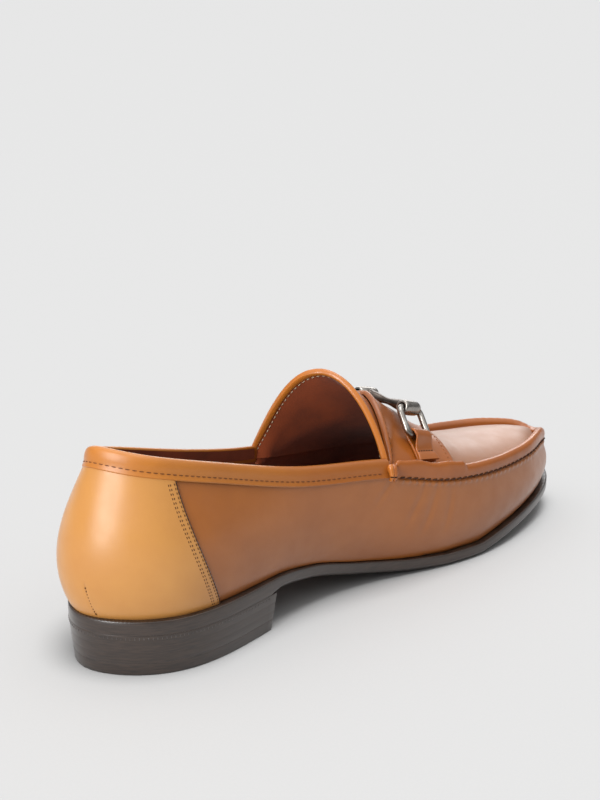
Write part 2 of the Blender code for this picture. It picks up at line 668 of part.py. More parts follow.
def bit_bar(cutters):
    ends = bit_places()
    middle = (ends[0][0] + ends[1][0]) / 2
    half = BIT_SPAN / 2
    profile = [(0.0, half), (BAR_END / 2, half)]
    for share in (0.72, 0.5, 0.28, 0.1, -0.1, -0.28, -0.5, -0.72):
        radius = BAR_MIDDLE / 2 + (BAR_END - BAR_MIDDLE) / 2 * ease(abs(share) / BAR_TAPER)
        profile.append((radius, half * share))
    profile += [(BAR_END / 2, -half), (0.0, -half)]
    across_foot = frame_at(middle, Vector((1, 0, 0)), Vector((0, 0, -1)))
    bar = turned("bit_bar", profile, 14, across_foot)
    radius, length = SLEEVE_DIAMETER / 2, SLEEVE_LENGTH / 2
    lip, body = radius * SLEEVE_LIP[0], length * SLEEVE_LIP[1]
    barrel = [(0.0, length), (lip, length), (radius, body), (radius, -body), (lip, -length), (0.0, -length)]
    bore_radius, reach = WIRE / 2 + WIRE_CLEARANCE, length * BORE_REACH
    bore = [(0.0, reach), (bore_radius, reach), (bore_radius, -reach), (0.0, -reach)]
    for operation, shape, steps in (("UNION", barrel, 16), ("DIFFERENCE", bore, 12)):
        for k, (sleeve, eye, run) in enumerate(ends):
            down = (eye - sleeve).normalized()
            cutter = turned(f"{operation.lower()}_{k}", shape, steps, frame_at(sleeve, down, run.cross(down)))
            cutter.hide_render = True
            cutter.display_type = "WIRE"
            cutters.objects.link(cutter)
            cut = bar.modifiers.new(cutter.name, "BOOLEAN")
            cut.operation = operation
            cut.object = cutter
    return bar


def bit_ring(name, sleeve, eye, run):
    """A closed wire: a rounded oblong, one long side in the sleeve and the other in the tab."""
    down = (eye - sleeve)
    width, half = down.length, RING_LENGTH / 2
    down.normalize()
    curve = bpy.data.curves.new(name, "CURVE")
    curve.dimensions = "3D"
    curve.bevel_depth = WIRE / 2
    curve.bevel_resolution = 2
    corner = min(RING_CORNER, width * 0.45)
    path = []
    for turn, (x, y) in enumerate(((half - corner, corner), (half - corner, width - corner),
                                   (corner - half, width - corner), (corner - half, corner))):
        for k in range(6):
            angle = math.radians(-90 + 90 * turn + 18 * k)
            path.append((x + corner * math.cos(angle), y + corner * math.sin(angle), 0.0))
    line = curve.splines.new("POLY")
    line.points.add(len(path) - 1)
    line.use_cyclic_u = True
    for point, place in zip(line.points, path):
        point.co = (*place, 1.0)
    ring = bpy.data.objects.new(name, curve)
    ring.matrix_world = frame_at(sleeve, run, down)
    return ring


def bit_tab(name, sleeve, eye, run):
    """A strap that lies on the saddle, turns round the ring's wire and comes back over itself."""
    skin = Skin()
    radius = WIRE / 2 + WIRE_CLEARANCE + TAB_LEATHER
    flat_height = 2 * TAB_LEATHER + GAP / 2
    down = (eye - sleeve).normalized()
    lines = []
    for share in (-0.5, -0.25, 0.0, 0.25, 0.5):
        middle = eye + run * share * TAB_WIDTH
        start = middle - instep_at(middle.x, middle.y)[1] * (radius + ON_SADDLE)
        distances = [TAB_TAIL * k / 6 for k in range(7)]
        steps = down_the_saddle(start, down, distances)
        foot, normal = steps[0]
        height = (middle - foot).dot(normal) + radius
        square = (normal - down * normal.dot(down)).normalized()
        lower = [place for place, _ in steps[1:]]
        back = []
        for distance, (place, up) in zip(distances[1:], steps[1:]):
            closing = ease(distance / (TAB_CLOSING * TAB_TAIL))
            back.append(place + up * (height + (flat_height - height) * closing))
        bend = []
        for step in range(7):
            angle = math.radians(-90 - 30 * step)
            bend.append(middle + (down * math.cos(angle) + square * math.sin(angle)) * radius)
        lines.append([skin.point(place) for place in lower[::-1] + bend + back])
    for first, second in zip(lines, lines[1:]):
        if down.y > 0:
            first, second = second, first
        skin.strip(second, first)
    return skin.solid(name, TAB_LEATHER)


def material(name, colour, roughness, metallic=0.0):
    made = bpy.data.materials.new(name)
    made.use_nodes = True
    shader = made.node_tree.nodes["Principled BSDF"]
    shader.inputs["Base Color"].default_value = (*colour, 1.0)
    shader.inputs["Roughness"].default_value = roughness
    shader.inputs["Metallic"].default_value = metallic
    made.diffuse_color = (*colour, 1.0)
    return made


def build():
    for thing in list(bpy.data.objects):
        bpy.data.objects.remove(thing)
    shoe = bpy.data.collections.new("bit_loafer")
    cutters = bpy.data.collections.new("cutters")
    for collection in (shoe, cutters):
        bpy.context.scene.collection.children.link(collection)
    leather = material("tan_calf", (0.46, 0.17, 0.04), 0.35)
    edge_black = material("burnished_edge", (0.030, 0.020, 0.015), 0.35)
    lining = material("lining", (0.20, 0.07, 0.04), 0.7)
    metal = material("old_nickel", (0.55, 0.53, 0.50), 0.3, 1.0)
    stack, lift = heel_blocks()
    pieces = [(outsole(), edge_black), (stack, edge_black), (lift, edge_black), (insole(), lining),
              (upper(), leather), (tongue(), leather), (saddle(), leather), (bit_bar(cutters), metal)]
    for (sleeve, eye, run), hand in zip(bit_places(), ("inner", "outer")):
        pieces.append((bit_ring(f"bit_ring_{hand}", sleeve, eye, run), metal))
        pieces.append((bit_tab(f"bit_tab_{hand}", sleeve, eye, run), leather))
    for thing, finish in pieces:
        thing.data.materials.append(finish)
        shoe.objects.link(thing)


build()
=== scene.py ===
"""The finish of a man's bit loafer for the left foot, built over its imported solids.

Metres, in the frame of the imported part: the toe points to +X, the outer side of the foot is +Y, the floor
is z = 0 and the origin is under the middle of the heel.
"""

import functools
import json
import math

import bmesh
import bpy
import numpy as np
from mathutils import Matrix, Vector

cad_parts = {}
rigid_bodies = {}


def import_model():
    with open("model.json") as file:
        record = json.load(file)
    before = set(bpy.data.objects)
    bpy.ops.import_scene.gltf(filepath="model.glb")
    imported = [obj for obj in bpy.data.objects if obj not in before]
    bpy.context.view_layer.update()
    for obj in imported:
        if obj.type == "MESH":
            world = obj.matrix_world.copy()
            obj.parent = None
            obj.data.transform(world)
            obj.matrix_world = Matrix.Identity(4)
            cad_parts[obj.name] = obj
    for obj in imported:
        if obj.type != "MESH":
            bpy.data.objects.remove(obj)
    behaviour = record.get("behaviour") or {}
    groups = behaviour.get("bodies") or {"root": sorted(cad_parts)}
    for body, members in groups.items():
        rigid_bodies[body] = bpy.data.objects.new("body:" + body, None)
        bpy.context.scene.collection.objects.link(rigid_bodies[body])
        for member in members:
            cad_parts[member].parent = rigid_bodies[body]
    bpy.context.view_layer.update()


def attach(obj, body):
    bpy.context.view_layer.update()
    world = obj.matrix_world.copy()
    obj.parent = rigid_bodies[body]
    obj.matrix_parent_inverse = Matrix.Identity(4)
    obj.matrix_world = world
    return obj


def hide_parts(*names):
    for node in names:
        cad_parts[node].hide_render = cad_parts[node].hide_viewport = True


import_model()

# The outsole: one cut of thick leather, lasted to the upper and trimmed, with a bevel along its lower
# edge. The edge is inked near black and waxed, a hot wheel has ticked its upper corner, and a channel
# with the sole's stitches runs round the underside.

SOLE_LENGTH = 0.300
BALL_WIDTH = 0.094
HEEL_WIDTH = 0.070
HEEL_HEIGHT = 0.0184
SOLE_THICKNESS = 0.0066
TOE_SPRING = 0.0116
SOLE_CHAMFER = 0.0016
SOLE_ROUND = 0.0006
LEDGE = 0.0038
UPPER_HEIGHT = 0.0960
WALL_BULGE = 0.0078
GAP = 0.0003
HEEL_LENGTH = 0.085
HEEL_MIDDLE = 0.43
WHEEL_PITCH = 0.0017     # between two ticks of the wheel on the sole's edge
WHEEL_DEPTH = 0.00016
CHANNEL_INSET = 0.0085   # from the sole's edge to the stitch channel underneath
CHANNEL_DEPTH = 0.0004
CHANNEL_START = 0.030    # X where the channel begins, and the length over which it deepens
SKIN_REACH = 0.0115      # how far the edge's skin goes in under the sole
CHAMFER_FADE = 0.012     # length over which the bevel begins in front of the heel
WIDENING = (0.25, 0.30)  # where the heel's width starts to grow to the ball's, and over what share

# Stations round the foot from the back of the heel along the inner side to the toe and back: the sole's
# edge, the upper's seam line, the swell of the wall between them, and the ledge of sole that shows.
STATIONS = (
    (0.000, -0.063, 0.035, -0.050, 0.912, 1.00, 0.60),
    (0.022, -0.293, 0.050, -0.214, 0.910, 1.00, 0.85),
    (0.100, -0.523, 0.100, -0.369, 0.872, 0.92, 0.95),
    (0.217, -0.526, 0.217, -0.410, 0.763, 0.67, 0.84),
    (0.360, -0.373, 0.360, -0.404, 0.645, 0.38, 0.42),
    (0.500, -0.310, 0.507, -0.395, 0.581, 0.41, 0.37),
    (0.600, -0.380, 0.600, -0.423, 0.505, 0.49, 0.68),
    (0.700, -0.430, 0.700, -0.426, 0.454, 0.49, 0.95),
    (0.800, -0.404, 0.797, -0.381, 0.429, 0.46, 1.00),
    (0.883, -0.332, 0.873, -0.315, 0.423, 0.41, 1.00),
    (0.943, -0.245, 0.927, -0.226, 0.408, 0.38, 1.00),
    (0.983, -0.138, 0.963, -0.149, 0.381, 0.40, 1.00),
    (1.000, -0.016, 0.970, -0.069, 0.361, 0.40, 1.00),
    (0.987, 0.112, 0.963, 0.011, 0.379, 0.45, 1.00),
    (0.947, 0.239, 0.927, 0.090, 0.405, 0.54, 1.00),
    (0.883, 0.362, 0.870, 0.191, 0.412, 0.67, 1.00),
    (0.800, 0.479, 0.787, 0.277, 0.414, 0.79, 1.00),
    (0.690, 0.564, 0.683, 0.330, 0.445, 0.87, 1.00),
    (0.573, 0.525, 0.573, 0.345, 0.486, 0.82, 0.95),
    (0.467, 0.430, 0.440, 0.362, 0.533, 0.69, 0.84),
    (0.350, 0.427, 0.343, 0.377, 0.589, 0.62, 0.74),
    (0.217, 0.421, 0.217, 0.336, 0.698, 0.72, 0.85),
    (0.100, 0.386, 0.100, 0.257, 0.811, 0.92, 0.80),
    (0.022, 0.180, 0.052, 0.114, 0.867, 1.00, 0.60),
)
ROUND = len(STATIONS)
TOE = ROUND // 2
# The underside: share of the sole's length, and share of the heel's height or of the toe's spring
HEEL_SEAT = ((0.00, 1.03), (0.17, 1.00), (0.29, 0.98), (0.37, 0.80), (0.47, 0.38), (0.56, 0.11),
             (0.635, 0.0))
FOREPART = ((0.715, 0.0), (0.76, 0.20), (0.83, 0.45), (0.92, 0.72), (1.00, 1.00))
UP = Vector((0, 0, 1))


def smooth(x, table):
    """A smooth line through the rows of a short table, with no bump between equal values."""
    xs = [row[0] for row in table]
    ys = [row[1] for row in table]
    if x <= xs[0]:
        return ys[0]
    if x >= xs[-1]:
        return ys[-1]
    i = max(k for k in range(len(xs) - 1) if xs[k] <= x)
    slopes = [(ys[k + 1] - ys[k]) / (xs[k + 1] - xs[k]) for k in range(len(xs) - 1)]

    def tangent(k):
        if k == 0 or k == len(xs) - 1:
            return slopes[min(k, len(slopes) - 1)]
        before, after = slopes[k - 1], slopes[k]
        return 0.0 if before * after <= 0 else 2 * before * after / (before + after)

    step = xs[i + 1] - xs[i]
    u = (x - xs[i]) / step
    return (ys[i] * (1 + 2 * u) * (1 - u) ** 2 + ys[i + 1] * u * u * (3 - 2 * u)
            + tangent(i) * step * u * (1 - u) ** 2 - tangent(i + 1) * step * u * u * (1 - u))


def ease(x):
    x = min(1.0, max(0.0, x))
    return x * x * (3 - 2 * x)


def width_at(share):
    return HEEL_WIDTH + (BALL_WIDTH - HEEL_WIDTH) * ease((share - WIDENING[0]) / WIDENING[1])


def last_in_metres():
    rows = []
    for sole_x, sole_y, seam_x, seam_y, seam_z, swell, ledge in STATIONS:
        rows.append((sole_x * SOLE_LENGTH, sole_y * width_at(sole_x), seam_x * SOLE_LENGTH,
                     seam_y * width_at(seam_x), seam_z * UPPER_HEIGHT, swell * WALL_BULGE, ledge * LEDGE))
    rows = np.array(rows)
    rows[:, (0, 2)] -= HEEL_LENGTH * HEEL_MIDDLE
    return rows


class Loop:
    """A closed curve, smooth to its second derivative, through the last's stations; read by station."""

    def __init__(self, rows):
        count = len(rows)
        ahead = np.roll(rows, -1, axis=0)
        span = np.linalg.norm((ahead - rows)[:, :2], axis=1)
        system = np.zeros((count, count))
        pull = np.zeros_like(rows)
        for i in range(count):
            before, after = span[i - 1], span[i]
            system[i, i - 1] += before
            system[i, i] += 2 * (before + after)
            system[i, (i + 1) % count] += after
            pull[i] = 6 * ((ahead[i] - rows[i]) / after - (rows[i] - rows[i - 1]) / before)
        self.rows, self.span, self.curl = rows, span, np.linalg.solve(system, pull)

    def at(self, station):
        count = len(self.rows)
        i = int(math.floor(station)) % count
        b = station - math.floor(station)
        a, j, step = 1 - b, (i + 1) % count, self.span[i]
        return (a * self.rows[i] + b * self.rows[j]
                + ((a ** 3 - a) * self.curl[i] + (b ** 3 - b) * self.curl[j]) * step * step / 6)

    def outward(self, station, first):
        step = 0.02
        run = (self.at(station + step) - self.at(station - step))[first:first + 2]
        return Vector((run[1], -run[0], 0.0)).normalized()

    def lengths(self, first, size, steps=1200):
        """Stations, and how far along the curve in some of the columns each one lies."""
        stations = np.linspace(0, ROUND, steps + 1)
        line = np.array([self.at(s)[first:first + size] for s in stations])
        return stations, np.append(0, np.cumsum(np.linalg.norm(np.diff(line, axis=0), axis=1)))


LAST = Loop(last_in_metres())
SOLE_RUN = LAST.lengths(0, 2)


def around(count):
    """Stations that stand evenly round the sole's edge."""
    stations, lengths = SOLE_RUN
    return np.interp(np.arange(count) / count * lengths[-1], lengths, stations)


def side(station):
    return station if station <= TOE else station - ROUND


def underside(x):
    share = x / SOLE_LENGTH + HEEL_MIDDLE * HEEL_LENGTH / SOLE_LENGTH
    if share < HEEL_SEAT[-1][0]:
        return smooth(share, HEEL_SEAT) * HEEL_HEIGHT
    return smooth(share, FOREPART) * TOE_SPRING


def sole_edge(station, inset, height):
    point = LAST.at(station)
    place = Vector((point[0], point[1], 0)) - LAST.outward(station, 0) * inset
    place.z = underside(place.x) + height
    return place


def piece_of(name, points, faces):
    mesh = bpy.data.meshes.new(name)
    mesh.from_pydata([tuple(point) for point in points], [], faces)
    piece = bpy.data.objects.new(name, mesh)
    bpy.context.scene.collection.objects.link(piece)
    return piece


def loft(name, grid, around_it=False, closed=False, capped=False):
    """A skin over lines of points. around_it joins the last line to the first, closed joins the ends of
    each line, and capped fills the first and last line."""
    grid = np.array([[tuple(point) for point in line] for line in grid])
    rows, columns = grid.shape[:2]
    faces = []
    for i in range(rows if around_it else rows - 1):
        n = (i + 1) % rows
        for j in range(columns if closed else columns - 1):
            m = (j + 1) % columns
            faces.append((i * columns + j, n * columns + j, n * columns + m, i * columns + m))
    if capped:
        faces.append(tuple(range(columns))[::-1])
        faces.append(tuple(range((rows - 1) * columns, rows * columns)))
    piece = piece_of(name, grid.reshape(-1, 3), faces)
    mesh = piece.data
    shape = bmesh.new()
    shape.from_mesh(mesh)
    bmesh.ops.remove_doubles(shape, verts=shape.verts, dist=0.000002)
    if closed:
        bmesh.ops.recalc_face_normals(shape, faces=shape.faces)
    shape.to_mesh(mesh)
    shape.free()
    mesh.shade_smooth()
    mesh.set_sharp_from_angle(angle=math.radians(50))
    return piece


def on_shoe(piece, slot, finish, *nodes):
    """The piece rides with the shoe, takes its finish, and stands for the solids it was made from."""
    piece.data.materials.append(finish)
    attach(piece, "root")
    if nodes:
        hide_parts(*nodes)
    return piece


def second_finish(piece, finish, wanted):
    """Faces whose middle and normal are wanted take another finish."""
    piece.data.materials.append(finish)
    place = len(piece.data.materials) - 1
    for face in piece.data.polygons:
        if wanted(face.center, face.normal):
            face.material_index = place


class Finish:
    """A material under way: its shader, and short ways to add the nodes that feed it."""

    def __init__(self, name, **sockets):
        self.made = bpy.data.materials.new(name)
        self.made.use_nodes = True
        self.tree = self.made.node_tree
        self.shader = self.tree.nodes["Principled BSDF"]
        for socket, value in sockets.items():
            self.shader.inputs[socket.replace("_", " ")].default_value = value
        self.place = self.tree.nodes.new("ShaderNodeTexCoord").outputs["Object"]
        self.bump = None

    def node(self, kind, sources=(), **settings):
        made = self.tree.nodes.new("ShaderNode" + kind)
        for key, value in settings.items():
            setattr(made, key, value)
        for socket, source in dict(sources).items():
            if isinstance(source, bpy.types.NodeSocket):
                self.tree.links.new(source, made.inputs[socket])
            else:
                made.inputs[socket].default_value = source
        return made

    def stretched(self, x=1.0, y=1.0, z=1.0):
        return self.node("Mapping", {"Vector": self.place, "Scale": (x, y, z)}).outputs["Vector"]

    def noise(self, scale, detail=3.0, place=None, roughness=0.5):
        sources = {"Vector": place or self.place, "Scale": scale, "Detail": detail, "Roughness": roughness}
        return self.node("TexNoise", sources).outputs["Fac"]

    def cells(self, scale, feature="F1", place=None):
        sources = {"Vector": place or self.place, "Scale": scale}
        return self.node("TexVoronoi", sources, feature=feature).outputs["Distance"]

    def span(self, source, low, high, out_low=0.0, out_high=1.0):
        values = {"Value": source, "From Min": low, "From Max": high, "To Min": out_low, "To Max": out_high}
        return self.node("MapRange", values).outputs["Result"]

    def blend(self, share, first, second, how="MIX"):
        mix = self.node("Mix", data_type="RGBA", blend_type=how)
        for socket, source in ((mix.inputs[0], share), (mix.inputs[6], first), (mix.inputs[7], second)):
            if isinstance(source, bpy.types.NodeSocket):
                self.tree.links.new(source, socket)
            else:
                socket.default_value = source if isinstance(source, float) else (*source, 1.0)
        return mix.outputs[2]

    def height(self, source, strength, distance):
        """One more layer of relief under the last."""
        sources = {"Height": source, "Strength": strength, "Distance": distance}
        if self.bump:
            sources["Normal"] = self.bump
        self.bump = self.node("Bump", sources).outputs["Normal"]

    def done(self, **sockets):
        if self.bump:
            self.tree.links.new(self.bump, self.shader.inputs["Normal"])
        for socket, source in sockets.items():
            self.tree.links.new(source, self.shader.inputs[socket.replace("_", " ")])
        return self.made


def inked_edge(name, dark=(0.016, 0.0095, 0.007), brown=(0.044, 0.027, 0.019)):
    """Leather edge, inked and waxed: layers pressed to faint level lines, dull where the wax has gone."""
    edge = Finish(name, Coat_Weight=0.7, Coat_Roughness=0.28, Specular_IOR_Level=0.42)
    fibres = edge.noise(150.0, 6.0, edge.stretched(1.0, 1.0, 14.0))
    patches = edge.noise(34.0, 3.0)
    colour = edge.blend(edge.span(fibres, 0.35, 0.70), dark, brown)
    colour = edge.blend(edge.span(patches, 0.45, 0.75, 0.0, 0.5), colour, brown)
    edge.height(fibres, 0.06, 0.0002)
    edge.height(edge.noise(900.0, 3.0), 0.08, 0.0001)
    return edge.done(Base_Color=colour, Roughness=edge.span(patches, 0.3, 0.8, 0.28, 0.46))


def walked_sole(name):
    """The leather under the sole: reddish brown, waxed, paler and scuffed along the foot's length."""
    sole = Finish(name, Coat_Weight=0.2, Coat_Roughness=0.3)
    scuffs = sole.noise(60.0, 6.0, sole.stretched(0.25, 2.0, 1.0), 0.65)
    patches = sole.noise(22.0, 3.0)
    colour = sole.blend(sole.span(patches, 0.35, 0.70), (0.115, 0.040, 0.020), (0.18, 0.070, 0.034))
    colour = sole.blend(sole.span(scuffs, 0.56, 0.72, 0.0, 0.5), colour, (0.26, 0.125, 0.070))
    sole.height(scuffs, 0.25, 0.0002)
    sole.height(sole.noise(1200.0, 2.0), 0.15, 0.0001)
    return sole.done(Base_Color=colour, Roughness=sole.span(scuffs, 0.3, 0.7, 0.38, 0.62))


edge_ink = inked_edge("inked sole edge")
sole_bottom = walked_sole("sole underside")


def chamfer(station):
    """How far the lower edge is bevelled; under the heel it is left square."""
    past_heel = (LAST.at(station)[0] - HEEL_LENGTH * (1 - HEEL_MIDDLE)) / CHAMFER_FADE
    return (SOLE_CHAMFER + 2 * SOLE_ROUND / 3) * ease(past_heel + 0.5) + 0.00004


def sole_section(station, run):
    """The sole's edge at one station, from inside its top to inside its underside."""
    bevel, top, corner = chamfer(station), SOLE_THICKNESS, SOLE_ROUND
    notch = WHEEL_DEPTH * (0.5 + 0.5 * math.cos(2 * math.pi * run / WHEEL_PITCH))
    groove = CHANNEL_DEPTH * ease((LAST.at(station)[0] - CHANNEL_START) / CHANNEL_START)
    section = [
        (LEDGE + 0.004, top - 0.0001), (LEDGE - 0.0002, top - 0.0001), (0.0021, top - notch * 0.3),
        (0.0013, top - notch), (corner + 0.0002, top - notch), (corner * 0.3, top - corner * 0.3 - notch),
        (0.0, top - corner), (-0.00003, top * 0.62), (0.0, top * 0.36), (0.0, bevel + 0.0005),
        (0.00010, bevel + 0.0001), (bevel * 0.5, bevel * 0.48), (bevel, 0.0001), (bevel + 0.0005, 0.0),
        (CHANNEL_INSET - 0.0008, 0.0), (CHANNEL_INSET - 0.0003, groove), (CHANNEL_INSET + 0.0003, groove),
        (CHANNEL_INSET + 0.0008, 0.0), (SKIN_REACH, 0.0),
    ]
    return [sole_edge(station, inset, height) for inset, height in section]


def faces_the_floor(middle, normal):
    return normal.z < -0.8 and middle.z < underside(middle.x) + 0.0009


sole_columns = around(1300)
sole_runs = np.interp(sole_columns, *SOLE_RUN)
outsole = loft("outsole_edge", map(sole_section, sole_columns, sole_runs), around_it=True)
on_shoe(outsole, "sole_leather", edge_ink, "outsole")
second_finish(outsole, sole_bottom, faces_the_floor)

underside_rows = []
for station in np.linspace(0.02, TOE - 0.02, 150):
    inner, outer = (sole_edge(s, SKIN_REACH - 0.0003, 0.0) for s in (station, ROUND - station))
    row = [inner.lerp(outer, k / 24) for k in range(25)]
    underside_rows.append([Vector((p.x, p.y, underside(p.x) + 0.00005)) for p in row])
tread = loft("outsole_underside", underside_rows)
tread.data.flip_normals()
on_shoe(tread, "sole_leather", sole_bottom)


def walk(path, pitch):
    """Even places along a path of (point, normal): each with its point, the path's run and its normal."""
    points = np.array([tuple(point) for point, _ in path])
    normals = np.array([tuple(normal) for _, normal in path])
    runs = np.append(0, np.cumsum(np.linalg.norm(np.diff(points, axis=0), axis=1)))
    found = []
    for k in range(int(runs[-1] / pitch)):
        here = (k + 0.5) * pitch
        ends = []
        for run in (here - pitch / 3, here + pitch / 3):
            ends.append(Vector([np.interp(run, runs, points[:, axis]) for axis in range(3)]))
        up = Vector([np.interp(here, runs, normals[:, axis]) for axis in range(3)]).normalized()
        found.append(((ends[0] + ends[1]) / 2, (ends[1] - ends[0]).normalized(), up))
    return found


def stitches(name, places, length, thread, slant, proud):
    """One mesh of stitches: each is a short arch of thread whose ends dive into the leather."""
    steps, sides = (-1.0, -0.6, 0.0, 0.6, 1.0), 6
    points, faces = [], []
    for place, along, up in places:
        aside = along.cross(up).normalized()
        run = (along * math.cos(slant) + aside * math.sin(slant)).normalized()
        wide = run.cross(up).normalized()
        first = len(points)
        for t in steps:
            middle = place + run * (t * length / 2) + up * thread * (proud - 0.9 * t * t)
            radius = thread / 2 * math.sqrt(1.0 - 0.55 * t * t)
            for k in range(sides):
                angle = 2 * math.pi * k / sides
                points.append(middle + (wide * math.cos(angle) + up * math.sin(angle)) * radius)
        for i in range(len(steps) - 1):
            for k in range(sides):
                n = (k + 1) % sides
                a, b = first + i * sides, first + (i + 1) * sides
                faces.append((a + k, a + n, b + n, b + k))
        faces.append(tuple(first + k for k in range(sides)))
        last = first + (len(steps) - 1) * sides
        faces.append(tuple(last + k for k in reversed(range(sides))))
    piece = piece_of(name, points, faces)
    piece.data.shade_smooth()
    return piece


def sewn(name, path, sewing, thread, slot="tan_leather", slant=0.0, proud=0.35):
    """A row of stitches along a path; sewing gives its pitch, a stitch's length and the thread's width."""
    pitch, length, width = sewing
    on_shoe(stitches(name, walk(path, pitch), length, width, slant, proud), slot, thread)


def waxed_thread(name, colour):
    """Twisted thread, waxed: fine slanting turns and a soft shine."""
    thread = Finish(name, Roughness=0.7, Specular_IOR_Level=0.25)
    turns = thread.noise(2600.0, 2.0)
    dark = tuple(0.55 * value for value in colour)
    thread.height(turns, 0.5, 0.0001)
    return thread.done(Base_Color=thread.blend(thread.span(turns, 0.35, 0.65), dark, colour))


dark_thread = waxed_thread("dark waxed thread", (0.075, 0.028, 0.013))
CHANNEL_SEWING = (0.0042, 0.0034, 0.0006)
channel_path = []
for station in np.linspace(2.9, ROUND - 2.9, 400):
    channel_path.append((sole_edge(station, CHANNEL_INSET, 0.0005), -UP))
sewn("sole_stitches", channel_path, CHANNEL_SEWING, dark_thread, "sole_leather")

# The heel: a stack of leather lifts, pegged and glued under the seat, then rasped, inked and burnished in
# one with the sole's edge. The joints of the lifts stay as hair lines, and one bottom lift is nailed on.

HEEL_TAPER = 0.0017
BREAST_LEAN = 0.0020
TOP_LIFT = 0.0056
LIFTS = 3
LIFT_LINE = 0.00003      # depth of the joint between two lifts
WHEEL_TICKS = (0.0019, 0.0013, 0.00028)
NAIL_INSET = 0.009       # from the heel's edge to its ring of nails
NAIL_HEAD = ((0.0009, 0.0006), (0.0009, 0.00012), (0.0006, 0.0), (0.00001, 0.0))   # radii and heights


def heel_ends():
    breast = HEEL_LENGTH * (1 - HEEL_MIDDLE)
    inner = next(s for s in np.arange(2.0, 5.0, 0.01) if LAST.at(s)[0] >= breast)
    outer = next(s for s in np.arange(ROUND - 2.0, ROUND - 5.0, -0.01) if LAST.at(s)[0] >= breast)
    return inner, outer


HEEL_ENDS = heel_ends()


def heel_ring(share_down, height, inset):
    """One level outline of the heel, round the back and straight across the breast."""
    breast = HEEL_LENGTH * (1 - HEEL_MIDDLE) - BREAST_LEAN * share_down - inset
    inner_end, outer_end = HEEL_ENDS
    ring = []
    for station in np.linspace(outer_end - ROUND, inner_end, 110):
        place = sole_edge(station % ROUND, HEEL_TAPER * share_down + inset, 0.0)
        place.x = min(place.x, breast)
        ring.append(place)
    first, last = ring[0].copy(), ring[-1].copy()
    for k in range(1, 24):
        ring.append(last.lerp(first, k / 24))
    for place in ring:
        place.z = underside(place.x) - GAP if height is None else height
    return ring


def heel_levels(top, bottom, joints, rounding):
    """Rings from top to bottom, with a hair line at each joint and softened outer corners."""
    span = HEEL_HEIGHT - bottom if top is None else top - bottom
    rows = [(-0.00025, 0.00012), (0.0002, 0.0), (0.0006, 0.0)]
    for k in range(1, joints + 1):
        middle = span * k / (joints + 1)
        rows += [(middle - 0.00025, 0.0), (middle, LIFT_LINE), (middle + 0.00025, 0.0)]
    rows += [(span - rounding, 0.0), (span - rounding * 0.3, rounding * 0.3), (span, rounding)]
    rings = []
    for down, inset in rows:
        share = down / span
        low = heel_ring(1 - bottom / HEEL_HEIGHT, bottom, inset)
        start = 0.0 if top is None else 1 - top / HEEL_HEIGHT
        high = heel_ring(start, top, inset)
        rings.append([a.lerp(b, share) for a, b in zip(high, low)])
    return rings


def lift_rubber(name):
    """The bottom lift: dense dark leather and rubber board with a dull, scuffed face."""
    rubber = Finish(name, Specular_IOR_Level=0.4, Coat_Weight=0.15, Coat_Roughness=0.35)
    grit = rubber.noise(700.0, 5.0)
    patches = rubber.noise(40.0, 4.0)
    colour = rubber.blend(rubber.span(patches, 0.35, 0.7), (0.012, 0.009, 0.008), (0.038, 0.027, 0.021))
    rubber.height(grit, 0.3, 0.00015)
    return rubber.done(Base_Color=colour, Roughness=rubber.span(patches, 0.3, 0.7, 0.36, 0.55))


stack_levels = heel_levels(None, TOP_LIFT + GAP * 0.3, LIFTS - 1, 0.00012)
stack = loft("heel_lifts", stack_levels, closed=True, capped=True)
on_shoe(stack, "sole_leather", inked_edge("inked heel"), "heel_stack")
lift_levels = heel_levels(TOP_LIFT, 0.0, 0, SOLE_ROUND)
bottom_lift = loft("heel_bottom_lift", lift_levels, closed=True, capped=True)
on_shoe(bottom_lift, "heel_rubber", inked_edge("inked bottom lift"), "top_lift")
second_finish(bottom_lift, lift_rubber("bottom lift"), lambda middle, normal: normal.z < -0.7)

seat_marks = []
for station in np.linspace(HEEL_ENDS[1] - ROUND + 0.1, HEEL_ENDS[0] - 0.1, 300):
    seat_marks.append((sole_edge(station % ROUND, -0.00002, -0.0012), LAST.outward(station, 0)))
tick_wax = inked_edge("wheel ticks", (0.05, 0.042, 0.038), (0.09, 0.078, 0.07))
sewn("heel_wheel_ticks", seat_marks, WHEEL_TICKS, tick_wax, "sole_leather", math.pi / 2, 0.05)


def brass_nail(name):
    """Cut nail heads, rasped level with the lift and gone dull."""
    brass = Finish(name, Metallic=1.0)
    scratches = brass.noise(1500.0, 3.0)
    colour = brass.blend(brass.span(scratches, 0.3, 0.7), (0.30, 0.19, 0.08), (0.55, 0.40, 0.18))
    brass.height(scratches, 0.2, 0.0001)
    return brass.done(Base_Color=colour, Roughness=brass.span(scratches, 0.3, 0.7, 0.3, 0.5))


nails = []
for middle in heel_ring(1.0, 0.0, NAIL_INSET)[6:106:11]:
    for radius, height in NAIL_HEAD:
        turn = [2 * math.pi * k / 12 for k in range(12)]
        nails.append([middle + Vector((math.cos(a), math.sin(a), 0)) * radius + UP * height for a in turn])
nail_faces = [(12 * i + k, 12 * i + (k + 1) % 12, 12 * i + 12 + (k + 1) % 12, 12 * i + 12 + k)
              for i in range(len(nails) - 1) if i % 4 != 3 for k in range(12)]
heel_nails = piece_of("heel_nails", [point for ring in nails for point in ring], nail_faces)
on_shoe(heel_nails, "heel_rubber", brass_nail("brass nails"))

# The upper's wall: quarters and vamp of tan calf, wet lasted and tacked under the insole, so that it
# swells at the heel and over the ball. Towards the apron the wall is gathered into small puckers by the
# hand stitches, and the flex of the foot has started a few soft creases.

